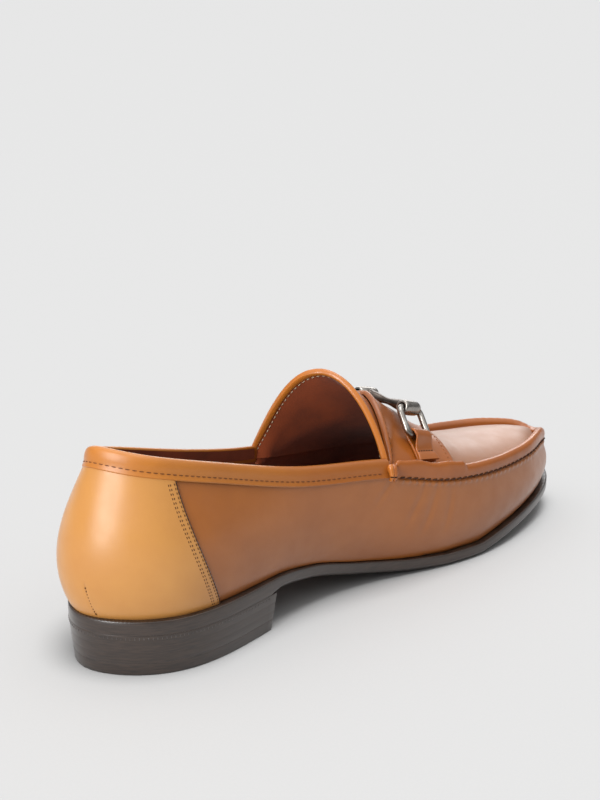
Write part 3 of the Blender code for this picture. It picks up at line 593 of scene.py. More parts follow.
COUNTER_EDGE = 2.20
COUNTER_SLANT = 0.42
SLANT_REACH = 1.6
SWELL_DROP = 0.8
WALL = 0.0020
THROAT = 5.00            # station where the raised seam starts, on either side
PUCKER_PITCH = 0.0041    # between two stitches of the raised seam
PUCKER_DEPTH = 0.00022
PUCKER_REACH = 0.0030    # how far down the wall the gathers run
LIP = 0.0007
SEAM_RUN = LAST.lengths(2, 3)

# Creases: station, share up the wall, half its length and width in metres, tilt in degrees, depth
CREASES = (
    (5.55, 0.66, 0.013, 0.0020, 62, 0.00045),
    (5.85, 0.60, 0.015, 0.0022, 70, 0.00050),
    (6.25, 0.62, 0.012, 0.0020, 78, 0.00035),
    (4.95, 0.88, 0.009, 0.0018, 50, 0.00040),
    (18.35, 0.62, 0.014, 0.0022, -70, 0.00050),
    (17.85, 0.60, 0.015, 0.0022, -76, 0.00045),
    (17.30, 0.62, 0.011, 0.0020, -82, 0.00035),
    (19.15, 0.86, 0.009, 0.0018, -50, 0.00040),
)


def seam(station):
    point = LAST.at(station)
    return Vector((point[2], point[3], point[4]))


def wall_point(station, rise):
    """The wall's outer face: rise runs from 0 at the sole to 1 at the seam."""
    place = side(station % ROUND)
    forward = COUNTER_SLANT * (1 - rise) * ease(1 - abs(abs(place) - COUNTER_EDGE) / SLANT_REACH)
    foot = station + math.copysign(forward, place)
    swell, ledge = LAST.at(foot)[5:7]
    start = sole_edge(foot, ledge, SOLE_THICKNESS + GAP)
    out = LAST.outward(foot, 0)
    return start.lerp(seam(station), rise) + out * swell * math.sin(math.pi * rise ** SWELL_DROP)


def grid_of(shape, stations, rises):
    return np.array([[tuple(shape(s, r)) for r in rises] for s in stations])


def grid_normals(grid, around_it=False):
    """The direction out of a grid whose lines run upwards and follow each other towards the toe."""
    if around_it:
        along = np.roll(grid, -1, axis=0) - np.roll(grid, 1, axis=0)
    else:
        along = np.gradient(grid, axis=0)
    normals = np.cross(along, np.gradient(grid, axis=1))
    return normals / np.maximum(np.linalg.norm(normals, axis=2, keepdims=True), 1e-12)


def seam_run(station):
    return float(np.interp(station % ROUND, *SEAM_RUN))


def wall_relief(stations, grid):
    """How far each point of the wall stands out: the lip and gathers under the raised seam, and creases."""
    relief = np.zeros(grid.shape[:2])
    drop = np.linalg.norm(grid - grid[:, -1:, :], axis=2)
    runs = np.array([seam_run(s) for s in stations])
    front = np.array([ease((abs(side(s)) - THROAT) / 0.25) for s in stations])
    wave = np.cos(2 * math.pi * runs / PUCKER_PITCH)[:, None]
    reach = PUCKER_REACH * (0.8 + 0.35 * np.sin(runs * 310.0) * np.sin(runs * 170.0))[:, None]
    gathers = np.exp(-(drop / reach) ** 2) * (1 - np.exp(-(drop / 0.0006) ** 2))
    lip = np.exp(-((drop - 0.0016) / 0.0011) ** 2)
    relief += front[:, None] * (PUCKER_DEPTH * wave * gathers + LIP * lip * (0.85 + 0.3 * wave))
    relief -= front[:, None] * 0.0004 * np.exp(-(drop / 0.0007) ** 2)
    for station, rise, length, width, tilt, depth in CREASES:
        middle = np.array(wall_point(station, rise))
        along = np.array(LAST.outward(station, 2).cross(UP)) * -1
        turn = math.radians(tilt)
        run = along * math.cos(turn) + np.array(UP) * math.sin(turn)
        away = grid - middle
        lengthwise = away @ run
        across = np.sqrt(np.maximum(0, (away ** 2).sum(axis=2) - lengthwise ** 2))
        fall = np.exp(-(lengthwise / length) ** 2)
        trough = np.exp(-(across / width) ** 2)
        shoulders = np.exp(-(across / (width * 2.6)) ** 2)
        relief -= depth * fall * (trough - 0.45 * shoulders)
    return relief


def tan_calf(name, light, deep, shine=0.5, haze=0.22, painted_shade_x=None):
    """Polished tan calf: fine pores and grain, cloudy dye, darker low down, and painted shade in the folds.
    The last argument gives two X between which painted shade darkens it."""
    calf = Finish(name, Coat_Weight=shine, Coat_Roughness=haze, Coat_IOR=1.45, Specular_IOR_Level=0.45)
    clouds = calf.noise(24.0, 5.0, roughness=0.55)
    mottle = calf.noise(130.0, 4.0)
    pores = calf.cells(1500.0)
    creases = calf.cells(620.0, "DISTANCE_TO_EDGE")
    height = calf.node("SeparateXYZ", {"Vector": calf.place}).outputs["Z"]
    colour = calf.blend(calf.span(clouds, 0.30, 0.75, 0.0, 0.55), light, deep)
    colour = calf.blend(calf.span(mottle, 0.35, 0.75, 0.0, 0.16), colour, deep)
    colour = calf.blend(calf.span(height, 0.012, 0.030, 0.45, 0.0), colour, deep)
    # Painted shade: the colour goes dark brown where the surface is hollow, in folds, creases and at steps.
    folds = calf.node("NewGeometry").outputs["Pointiness"]
    colour = calf.blend(calf.span(folds, 0.50, 0.42, 0.0, 0.75), colour, (0.16, 0.045, 0.012))
    # Painted shade: between the two X given, the colour darkens towards the deep tone.
    if painted_shade_x:
        along = calf.node("SeparateXYZ", {"Vector": calf.place}).outputs["X"]
        colour = calf.blend(calf.span(along, *painted_shade_x, 0.0, 0.85), colour, deep)
    calf.height(calf.span(creases, 0.0, 0.10), 0.10, 0.00010)
    calf.height(pores, 0.10, 0.00010)
    calf.height(calf.noise(210.0, 4.0), 0.10, 0.0004)
    return calf.done(Base_Color=colour, Roughness=calf.span(mottle, 0.3, 0.75, 0.34, 0.50))


calf = tan_calf("tan calf", (0.37, 0.118, 0.020), (0.23, 0.066, 0.011), 0.55, 0.26)
wall_stations = around(760)
wall_rises = [1 - (1 - t) ** 1.7 for t in np.linspace(0, 1, 34)]
wall_grid = grid_of(wall_point, wall_stations, wall_rises)
wall_normals = grid_normals(wall_grid, around_it=True)
wall_face = wall_grid + wall_normals * wall_relief(wall_stations, wall_grid)[:, :, None]
feather = wall_face[:, :1] - wall_normals[:, :1] * 0.0012
feather[:, :, 2] = wall_face[:, :1, 2] - 0.0001
wall = loft("quarters_and_vamp", np.concatenate([feather, wall_face], axis=1), around_it=True)
on_shoe(wall, "tan_leather", calf, "upper")

# The heel counter: a second piece of calf outside the quarters, glued over the stiffener, skived thin at
# its front edge and held there by two double rows of stitches. A short dart takes up its fullness low on
# the inner back.

COUNTER_STEP = 0.0010
COUNTER_ROWS = (-0.0010, -0.0020, -0.0040, -0.0050)   # rows of stitches, measured from the front edge
DART = ((0.56, 0.02), (0.42, 0.25))                   # station and rise of its foot and its top
DART_DEPTH = 0.00055
DART_WIDTH = 0.0006
COUNTER_SEWING = (0.0019, 0.0012, 0.00034)
DART_SEWING = (0.0015, 0.0010, 0.0004)
CUT_EDGE = (0.030, 0.010)                             # how far back the dark edge reaches, and its slope
counter_rises = np.linspace(0.0, 1.0, 40)
flat_end, fall_start = (COUNTER_EDGE - width for width in CUT_EDGE)
counter_stations = [-COUNTER_EDGE, -fall_start, *np.linspace(-flat_end, flat_end, 150), fall_start,
                    COUNTER_EDGE]
counter_grid = grid_of(wall_point, counter_stations, counter_rises)
counter_normals = grid_normals(counter_grid)


def counter_height(station, rise, place):
    """The counter's thickness: skived at its front edge and let in by the dart."""
    edge = COUNTER_EDGE - abs(station)
    height = COUNTER_STEP * (0.55 + 0.45 * ease(edge / 0.05)) if edge > 0.001 else 0.00005
    foot, top = (wall_point(*end) for end in DART)
    run = top - foot
    share = max(0.0, min(1.0, (place - foot).dot(run) / run.length_squared))
    away = (place - foot - run * share).length
    return height - DART_DEPTH * math.exp(-(away / DART_WIDTH) ** 2)


counter_face = counter_grid.copy()
for i, station in enumerate(counter_stations):
    for j, rise in enumerate(counter_rises):
        lift = counter_height(station, rise, Vector(counter_grid[i, j]))
        counter_face[i, j] += counter_normals[i, j] * lift
counter = loft("heel_counter", counter_face)
raw_edge = inked_edge("raw calf edge", (0.045, 0.016, 0.010), (0.10, 0.035, 0.018))
counter_calf = tan_calf("counter calf", (0.55, 0.255, 0.062), (0.43, 0.170, 0.036), 0.5, 0.32)
on_shoe(counter, "tan_leather", counter_calf)

dart_path = []
for share in np.linspace(0, 1, 12):
    station, rise = (a + (b - a) * share for a, b in zip(*DART))
    across_wall = wall_point(station + 0.05, rise) - wall_point(station - 0.05, rise)
    out = across_wall.cross(wall_point(station, rise + 0.02) - wall_point(station, rise)).normalized()
    dart_path.append((wall_point(station, rise) + out * COUNTER_STEP * 0.75, out))
sewn("dart_stitches", dart_path, DART_SEWING, dark_thread)
edge_faces = 2 * (len(counter_rises) - 1)
counter.data.materials.append(raw_edge)
for index, face in enumerate(counter.data.polygons):
    if index < edge_faces or index >= len(counter.data.polygons) - edge_faces:
        face.material_index = 1


def counter_row(turn, away):
    """A path on the counter at a real distance from its front edge, from the sole to the collar."""
    path = []
    for rise in np.linspace(0.015, 0.995, 70):
        edge = wall_point(turn * COUNTER_EDGE, rise)
        behind = wall_point(turn * (COUNTER_EDGE - 0.1), rise)
        share = -away / (edge - behind).length
        place = wall_point(turn * (COUNTER_EDGE - 0.1 * share), rise)
        along = (edge - behind) * turn
        up = wall_point(turn * COUNTER_EDGE, rise + 0.01) - edge
        normal = along.cross(up).normalized()
        path.append((place + normal * COUNTER_STEP, normal))
    return path


tan_thread = waxed_thread("tan thread", (0.34, 0.125, 0.040))
brown_thread = waxed_thread("brown thread", (0.150, 0.050, 0.018))
for hand, turn in (("inner", 1), ("outer", -1)):
    for number, away in enumerate(COUNTER_ROWS):
        row = counter_row(turn, away)
        sewn(f"counter_stitches_{hand}_{number}", row, COUNTER_SEWING, dark_thread, slant=turn * 0.06)

# The collar band: a strip of calf folded over the top edge of the quarters and of the lining, and
# topstitched along its lower edge, where its cut edge stands a little proud.

BAND_HEIGHT = 0.0084
BAND_LEAN = 0.0018
BAND_ENDS = (4.965, -4.80)
BAND_SECTION = (
    # share of the band's height, how far out
    (-0.03, 0.0001), (-0.02, 0.0011), (0.05, 0.00150), (0.20, 0.00120), (0.30, 0.00112), (0.50, 0.00135),
    (0.72, 0.00135), (0.88, 0.00105), (0.97, 0.00055), (1.01, -0.0002), (1.015, -0.0009), (0.98, -0.0015),
    (0.90, -0.0019), (0.60, -0.0021), (0.20, -0.0021), (0.0, -0.0021),
)
STITCH_LINE = 0.27       # share of the band's height where its stitches lie
BAND_SEWING = (0.0029, 0.0022, 0.00038)


def band_place(station, share, outward):
    out = LAST.outward(station, 2)
    return seam(station) + UP * BAND_HEIGHT * share + out * (outward - BAND_LEAN * max(0.0, share))


band_stations = np.linspace(BAND_ENDS[1], BAND_ENDS[0], 420)
band_rings = [[band_place(s, share, outward) for share, outward in BAND_SECTION] for s in band_stations]
band = loft("collar_band", band_rings, closed=True, capped=True)
# The band's calf darkens from the back of the heel towards its front ends: painted shade.
band_calf = tan_calf("band calf", (0.57, 0.212, 0.030), (0.29, 0.080, 0.009), 0.3, 0.30, (-0.03, 0.09))
on_shoe(band, "tan_leather", band_calf)
band.data.materials.append(raw_edge)
lower_edge = range(0, (len(band_rings) - 1) * len(BAND_SECTION), len(BAND_SECTION))
for index in lower_edge:
    band.data.polygons[index].material_index = 1
band_path = []
for station in band_stations[2:-2]:
    out = (LAST.outward(station, 2) * 0.97 + UP * 0.2).normalized()
    band_path.append((band_place(station, STITCH_LINE, 0.00118), out))
sewn("collar_stitches", band_path, BAND_SEWING, brown_thread)

# The raised seam: the vamp's edge is turned up round the apron and sewn through by hand with a heavy
# waxed thread, which draws it into a roll. It stands highest beside the saddle, whose ends it covers.

RIDGE_HEIGHT = 0.0066
RIDGE_WIDTH = 0.0046
SADDLE_RIDGE = 0.0090
RIDGE_CHANGE = 6.60
RIDGE_STEP = 0.10
RIDGE = (
    # saddle_out, saddle_up, out, up
    (0.00, 0.00, 0.00, 0.00),
    (0.24, 0.08, 0.22, 0.12),
    (0.32, 0.48, 0.29, 0.46),
    (0.24, 0.84, 0.17, 0.80),
    (0.00, 1.00, -0.14, 0.99),
    (-0.22, 0.90, -0.48, 0.95),
    (-0.30, 0.62, -0.76, 0.76),
    (-0.34, 0.36, -0.86, 0.50),
    (-1.00, 0.33, -1.04, 0.43),
)
RIDGE_POINTS = 26
HAND_SEWING = (PUCKER_PITCH, 0.0033, 0.00095)
APRON_SEWING = (0.0027, 0.0020, 0.00045)
# The roll's rise and fall: from stitch to stitch, slowly along it, and beside the saddle
STITCH_WAVE = 0.008
SLOW_WAVE = 0.012
SADDLE_WAVE = 0.045
TOE_FULLNESS = (0.60, 0.9)   # how much wider the roll is at the toe, and over how many stations it fades
END_ROUND = 0.13         # stations over which the roll's rear end closes


def through(points, share):
    """A smooth line through a few points, read by share of their number."""
    place = share * (len(points) - 1)
    i = min(int(place), len(points) - 2)
    u = place - i
    a, b, c, d = (np.array(points[max(0, min(len(points) - 1, i + k))]) for k in (-1, 0, 1, 2))
    bend, turn = 2 * a - 5 * b + 4 * c - d, 3 * b - a - 3 * c + d
    return 0.5 * (2 * b + (c - a) * u + bend * u * u + turn * u ** 3)


@functools.cache
def out_of_apron(station):
    """The way out of the seam line; round the toe it turns more gently than the line does."""
    near = ease((2.4 - abs(station % ROUND - TOE)) / 1.2)
    mean = Vector((0, 0, 0))
    for shift in (-0.9, -0.6, -0.3, 0.0, 0.3, 0.6, 0.9):
        mean += LAST.outward(station + shift * near, 2)
    return mean.normalized()


def roll_width(station):
    """The roll's width: it is fuller round the toe, which keeps its inner edge round."""
    more, fade = TOE_FULLNESS
    return RIDGE_WIDTH * (1 + more * math.exp(-((station % ROUND - TOE) / fade) ** 2))


def ridge_place(station, share):
    away = abs(side(station % ROUND))
    fore = ease((away - RIDGE_CHANGE) / RIDGE_STEP + 0.5)
    saddle_out, saddle_up, out_share, up_share = through(RIDGE, share)
    end = math.sqrt(ease((away - THROAT) / END_ROUND)) if away < THROAT + END_ROUND else 1.0
    width = roll_width(station) if share > 0.5 else RIDGE_WIDTH
    sideways = (saddle_out + (out_share - saddle_out) * fore) * width
    up = saddle_up * SADDLE_RIDGE * (1 - fore) + up_share * RIDGE_HEIGHT * fore
    run = seam_run(station)
    wave = math.cos(2 * math.pi * run / PUCKER_PITCH)
    bulge = 1 + STITCH_WAVE * wave * min(1.0, 4 * share * (1 - share)) + SLOW_WAVE * math.sin(run * 260.0)
    bulge += SADDLE_WAVE * (1 - fore) * math.sin(run * 330.0 + 0.6)
    base = 0.30 * RIDGE_HEIGHT * min(1.0, share * 1.4)
    up = base + (up - base) * end * bulge
    return seam(station) + out_of_apron(station) * sideways * (0.35 + 0.65 * end) + UP * up


def ridge_normal(station, share):
    along = ridge_place(station + 0.01, share) - ridge_place(station - 0.01, share)
    up = ridge_place(station, min(1.0, share + 0.02)) - ridge_place(station, max(0.0, share - 0.02))
    return along.cross(up).normalized()


ridge_stations = {s for s in wall_stations if THROAT < s < ROUND - THROAT}
ridge_stations |= {THROAT, THROAT + 0.03, THROAT + 0.06, ROUND - THROAT - 0.03, ROUND - THROAT}
ridge_stations = sorted(ridge_stations)
ridge_shares = np.linspace(0, 1, RIDGE_POINTS)
roll = loft("raised_seam", [[ridge_place(s, share) for share in ridge_shares] for s in ridge_stations])
on_shoe(roll, "tan_leather", tan_calf("roll calf", (0.37, 0.102, 0.010), (0.19, 0.045, 0.005), 0.42, 0.16))
groove_path, inside_path = [], []
for station in np.linspace(THROAT + 0.12, ROUND - THROAT - 0.12, 500):
    groove_path.append((ridge_place(station, 0.115), ridge_normal(station, 0.14)))
    if RIDGE_CHANGE + 0.15 < abs(side(station)):
        inside_path.append((ridge_place(station, 0.93), ridge_normal(station, 0.96)))
sewn("raised_seam_stitches", groove_path, HAND_SEWING, dark_thread, slant=-0.15)
sewn("apron_stitches", inside_path, APRON_SEWING, dark_thread)

# The apron: one smooth piece of calf over the toes and the instep, stretched over the last inside the
# raised seam. It keeps a faint crown and the first soft wrinkles behind the toes.

INSTEP_RISE = 0.048
TONGUE_FLARE = 0.0045
ARCH_BEND = 2.1
CROWN_BOW = 0.16         # rounds the bow of the rows where they cross the crown
BOW_START = -0.6         # row in front of which the crown is rounded so, and over how many rows that grows
BOW_GROWTH = 0.8
ARCHES = (
    # row, inner, outer, crown_x, crown_y, rise, squareness, foot, flare
    (-1.0, 5.00, 4.78, 0.468, -0.020, 1.000, 0.80, 0.20, 1.0),
    (-0.5, 5.01, 4.96, 0.540, -0.030, 0.640, 0.76, 1.08, 0.0),
    (0.0, 5.05, 5.05, 0.602, -0.040, 0.362, 0.76, 1.00, 0.0),
    (1.0, 6.00, 6.00, 0.652, -0.048, 0.250, 0.78, 1.00, 0.0),
    (2.0, 7.00, 7.00, 0.717, -0.053, 0.165, 0.90, 1.00, 0.0),
    (3.0, 8.00, 8.00, 0.800, -0.055, 0.120, 1.00, 1.00, 0.0),
    (4.0, 9.00, 9.00, 0.874, -0.060, 0.078, 1.00, 1.00, 0.0),
    (5.0, 10.00, 10.00, 0.928, -0.066, 0.046, 1.00, 1.00, 0.0),
    (6.0, 11.00, 11.00, 0.959, -0.069, 0.024, 1.00, 1.00, 0.0),
    (7.0, 12.00, 12.00, 0.972, -0.069, 0.000, 1.00, 1.00, 0.0),
)
ARCH_ROWS = [arch[0] for arch in ARCHES]
ARCH_LINES = [list(zip(ARCH_ROWS, column)) for column in list(zip(*ARCHES))[3:]]
APRON_FOOT = 0.45        # height of the apron's edge, as a share of the raised seam's
# Wrinkles over the apron: row, its bow towards the toe in rows, width in rows, depth
WRINKLES = ((2.10, -0.08, 0.14, 0.00016), (2.60, 0.06, 0.15, 0.00012))


@functools.cache
def arch_at(row):
    """One arch of the instep: its two feet, its crown, its squareness, and the turn of its outer foot."""
    stations = [float(np.interp(row, ARCH_ROWS, [arch[k] for arch in ARCHES])) for k in (1, 2)]
    crown_x, crown_y, rise, squareness, foot, flare = [smooth(row, line) for line in ARCH_LINES]
    ends = []
    for station in (stations[0], ROUND - stations[1]):
        inward = out_of_apron(station) * -foot * roll_width(station)
        ends.append(seam(station) + inward + UP * foot * APRON_FOOT * RIDGE_HEIGHT)
    crown = Vector((crown_x * SOLE_LENGTH - HEEL_MIDDLE * HEEL_LENGTH, crown_y * BALL_WIDTH,
                    (ends[0].z + ends[1].z) / 2 + rise * INSTEP_RISE))
    turned_out = LAST.outward(ROUND - stations[1], 2) * TONGUE_FLARE * flare
    return ends, crown, squareness, turned_out


def instep(row, across):
    """A point of the instep's outer face: row along the foot, across from -1 at the inner seam to 1."""
    ends, crown, squareness, turned_out = arch_at(row)
    end = ends[0] if across < 0 else ends[1]
    turn = abs(across) * math.pi / 2
    reach = math.sin(turn) ** (2 / ARCH_BEND)
    climb = max(0.0, math.cos(turn)) ** (2 * squareness)
    point = crown + (end - crown) * reach
    bowed = (math.hypot(reach, CROWN_BOW) - CROWN_BOW) / (math.hypot(1.0, CROWN_BOW) - CROWN_BOW)
    bowed = reach + (bowed - reach) * ease((row - BOW_START) / BOW_GROWTH)
    point.x = crown.x + (end.x - crown.x) * bowed
    point.z = end.z + (crown.z - end.z) * climb
    if across > 0:
        point += turned_out * (1 - climb) ** 3
    return point


def instep_normal(row, across):
    along = instep(min(row + 0.02, 6.99), across) - instep(max(-1.0, row - 0.02), across)
    aside = instep(row, min(1, across + 0.02)) - instep(row, max(-1, across - 0.02))
    return along.cross(aside).normalized()


def on_instep(row, across, high=0.0):
    """A place at some height over the instep, and the way out of it."""
    normal = instep_normal(row, across)
    return instep(row, across) + normal * high, normal


apron_rows = np.concatenate([np.linspace(0.9, 5.5, 90), np.linspace(5.56, 6.985, 44)])
apron_steps = np.sin(np.linspace(-math.pi / 2, math.pi / 2, 45))
apron_grid = grid_of(instep, apron_rows, apron_steps)
apron_normals = -np.cross(np.gradient(apron_grid, axis=1), np.gradient(apron_grid, axis=0))
apron_normals /= np.maximum(np.linalg.norm(apron_normals, axis=2, keepdims=True), 1e-12)
apron_normals *= np.sign(apron_normals[:, :, 2:3] + 1e-9)
rows_at = apron_rows[:, None] + 0 * apron_steps[None, :]
for row, bow, width, depth in WRINKLES:
    line = row + bow * (1 - apron_steps[None, :] ** 2) + 0.03 * np.sin(9 * apron_steps[None, :] + row)
    fade = (1 - apron_steps[None, :] ** 4)
    apron_grid -= apron_normals * (depth * fade * np.exp(-((rows_at - line) / width) ** 2))[:, :, None]
apron = loft("apron", apron_grid)
apron_calf = tan_calf("apron calf", (0.31, 0.122, 0.048), (0.25, 0.095, 0.036), 0.8, 0.44)
on_shoe(apron, "tan_leather", apron_calf)

# The lining: soft dark brown leather, cemented inside the quarters, the vamp and the apron. Only the
# collar's inside and the hollow under the tongue are ever seen.


def soft_lining(name, light=(0.30, 0.062, 0.017), deep=(0.165, 0.034, 0.011)):
    """Unpolished lining leather: matt, faintly mottled, with an open pore."""
    skin = Finish(name, Specular_IOR_Level=0.3, Sheen_Weight=0.12, Sheen_Roughness=0.5)
    clouds = skin.noise(45.0, 4.0)
    pores = skin.cells(1100.0)
    skin.height(pores, 0.25, 0.00015)
    skin.height(skin.noise(260.0, 3.0), 0.15, 0.0003)
    return skin.done(Base_Color=skin.blend(skin.span(clouds, 0.3, 0.7), light, deep),
                     Roughness=skin.span(clouds, 0.3, 0.7, 0.50, 0.68))


lining = soft_lining("brown lining")
lining_stations = around(260)
lining_rises = np.linspace(0.0, 1.0, 16)
lining_grid = grid_of(wall_point, lining_stations, lining_rises)
lining_grid -= grid_normals(lining_grid, around_it=True) * WALL
COLLAR_LINED = (-4.75, 4.95)   # stations between which the lining goes on up inside the collar band
collar = []
for station, line in zip(lining_stations, lining_grid):
    if COLLAR_LINED[0] < side(station) < COLLAR_LINED[1]:
        collar.append([tuple(band_place(station % ROUND, 0.9, -0.0023))])
    else:
        collar.append([tuple(Vector(line[-1]) + UP * 0.0002)])
lining_grid = np.concatenate([lining_grid, np.array(collar)], axis=1)
quarter_lining = loft("quarter_lining", lining_grid, around_it=True)
vamp_grid = []
vamp_steps = np.linspace(-0.98, 0.98, 25)
for row in np.linspace(-0.14, 6.9, 70):
    vamp_grid.append([on_instep(row, across, -WALL - 0.00012)[0] for across in vamp_steps])
vamp_lining = loft("vamp_lining", vamp_grid)
for piece in (quarter_lining, vamp_lining):
    piece.data.flip_normals()
    on_shoe(piece, "lining_leather", lining)

# The insole's cover: a full sock of lining leather glued over the insole, with a thin padded seat glued
# on it under the heel. Neither carries a stamp.

INSOLE_TOP = SOLE_THICKNESS + GAP + 0.0026   # over the sole's underside
PAD = (0.25, 3.6)        # stations where the heel seat's pad begins and ends
PAD_FADE = 0.12
PAD_INSET = 0.0075
PAD_CROWN = 0.0014


def sole_row(station, inset, count):
    """Places across the inside of the shoe, level with the insole's top."""
    inner, outer = (sole_edge(s, LAST.at(s)[6] + inset, INSOLE_TOP) for s in (station, ROUND - station))
    row = [inner.lerp(outer, k / (count - 1)) for k in range(count)]
    return [Vector((place.x, place.y, underside(place.x) + INSOLE_TOP)) for place in row]


sock = loft("insole_cover", [sole_row(s, WALL + 2 * GAP, 21) for s in np.linspace(0.03, TOE - 0.03, 130)])
sock_leather = soft_lining("insole cover leather", (0.19, 0.075, 0.036), (0.11, 0.04, 0.02))
on_shoe(sock, "lining_leather", sock_leather, "insole")
pad_rows = []
for station in np.linspace(*PAD, 60):
    fade = ease((station - PAD[0]) / PAD_FADE) * ease((PAD[1] - station) / PAD_FADE)
    pad_row = sole_row(station, PAD_INSET, 19)
    for k, place in enumerate(pad_row):
        place.z += PAD_CROWN * (1 - (k / 9 - 1) ** 8) * fade
    pad_rows.append(pad_row)
on_shoe(loft("heel_seat_pad", pad_rows), "lining_leather", soft_lining("heel seat leather"))

# The tongue: a sheet of calf lined with brown leather, standing high over the instep. Its edge is bound
# with a narrow roll of calf, held by a row of stitches that shows pale inside, and a gusset of lining
# leather closes it to the wall on either side.

TONGUE_THICKNESS = 0.0020
BINDING = 0.0005
BINDING_WIDTH = 0.0030
TONGUE_END = -0.06
BINDING_ROLL = ((0.0, 0.0), (0.06, 0.35), (0.2, 0.8), (0.45, 1.0), (0.75, 0.9), (0.93, 0.55), (1.0, -0.2))
OUTSIDE_SEWING = (0.0027, 0.0019, 0.0004)
INSIDE_SEWING = (0.0027, 0.0019, 0.00045)
tongue_steps = np.linspace(-1, 1, 90)


def row_after(row, across, distance):
    """The row that lies a real distance in front of another."""
    speed = (instep(row + 0.1, across) - instep(row, across)).length / 0.1
    return row + min(0.42, distance / speed)


def strap_ring(across, rows, outer_heights, inner_heights):
    """A cut through leather laid on the instep: its outer face forwards, then its inner face back."""
    frames = [on_instep(row, across) for row in rows]
    outer = [place + normal * high for (place, normal), high in zip(frames, outer_heights)]
    inner = [place + normal * high for (place, normal), high in zip(frames, inner_heights)]
    return outer + inner[::-1]


tongue_rings, binding_rings, tongue_path, inside_tongue = [], [], [], []
for across in tongue_steps:
    bound = row_after(-1.0, across, BINDING_WIDTH)
    start = row_after(-1.0, across, BINDING_WIDTH * 0.4)
    rows = np.linspace(start, TONGUE_END, 22)
    tongue_rings.append(strap_ring(across, rows, [0.0] * 22, [-TONGUE_THICKNESS] * 22))
    shares, rises = np.array(BINDING_ROLL).T
    heights = rises * BINDING
    inner = -TONGUE_THICKNESS - heights
    heights[0] = -TONGUE_THICKNESS * 0.35
    inner[0] = -TONGUE_THICKNESS * 0.65
    binding_rings.append(strap_ring(across, -1.0 + (bound + 1.0) * shares, heights, inner))
    beside = row_after(-1.0, across, BINDING_WIDTH + 0.0007)
    tongue_path.append(on_instep(beside, across))
    place, normal = on_instep(beside, across, -TONGUE_THICKNESS)
    inside_tongue.append((place, -normal))


def foot_of_roll(ring, out, drops):
    """The rings that carry a roll on, outwards and down over the seam, to where it is sewn in."""
    middle = sum(ring, Vector((0, 0, 0))) / len(ring)
    found = []
    for share in (0.34, 0.67, 1.0):
        shift = out * drops[0] * share - UP * drops[1] * share ** 1.5
        size = 1.0 - 0.25 * share ** 3
        found.append([middle + (point - middle) * size + shift for point in ring])
    return found


BINDING_FOOT = (0.0016, 0.0018)   # how far the binding's foot goes out over the seam, and down
inner_foot = foot_of_roll(binding_rings[0], LAST.outward(5.0, 2), BINDING_FOOT)
outer_foot = foot_of_roll(binding_rings[-1], LAST.outward(ROUND - 4.78, 2), (0.0006, 0.0010))
binding_rings = inner_foot[::-1] + binding_rings + outer_foot
tongue = loft("tongue_leather", tongue_rings, closed=True, capped=True)
tongue_calf = tan_calf("tongue calf", (0.32, 0.082, 0.009), (0.18, 0.042, 0.006), 0.42, 0.16)
on_shoe(tongue, "tan_leather", tongue_calf, "tongue")
tongue.data.materials.append(lining)
ring_size = len(tongue_rings[0])
for index, face in enumerate(tongue.data.polygons):
    if index < (len(tongue_rings) - 1) * ring_size and index % ring_size >= ring_size // 2 - 1:
        face.material_index = 1
binding = loft("tongue_binding", binding_rings, closed=True, capped=True)
binding_calf = tan_calf("binding calf", (0.50, 0.158, 0.018), (0.34, 0.092, 0.010), 0.5, 0.16)
on_shoe(binding, "tan_leather", binding_calf)
for hand, turn in (("inner", -1), ("outer", 1)):
    gusset = []
    for row in np.concatenate([np.linspace(-0.97, 0.5, 30), np.linspace(0.6, 6.9, 60)]):
        station = float(np.interp(row, ARCH_ROWS, [arch[1 if turn < 0 else 2] for arch in ARCHES]))
        station = station if turn < 0 else ROUND - station
        top = on_instep(row, turn * 0.985, -TONGUE_THICKNESS * 0.8)[0]
        foot = wall_point(station, 0.70) - LAST.outward(station, 2) * (WALL + 0.0004)
        knee = seam(station) - LAST.outward(station, 2) * (WALL + 0.0010) - UP * 0.0010
        gusset.append([top, top.lerp(knee, 0.6), knee, knee.lerp(foot, 0.5), foot])
    on_shoe(loft(f"tongue_gusset_{hand}", gusset), "lining_leather", lining)
pale_thread = waxed_thread("pale thread", (0.62, 0.50, 0.36))
sewn("tongue_stitches_outside", tongue_path, OUTSIDE_SEWING, tan_thread)
sewn("tongue_stitches_inside", inside_tongue, INSIDE_SEWING, pale_thread)

# The saddle: a strap of calf over the instep, from raised seam to raised seam. Its rear edge is rolled
# and topstitched, its front edge is folded and lies on the apron. The roll and the tongue's binding curl
# out over the seam at both ends and are sewn in there.

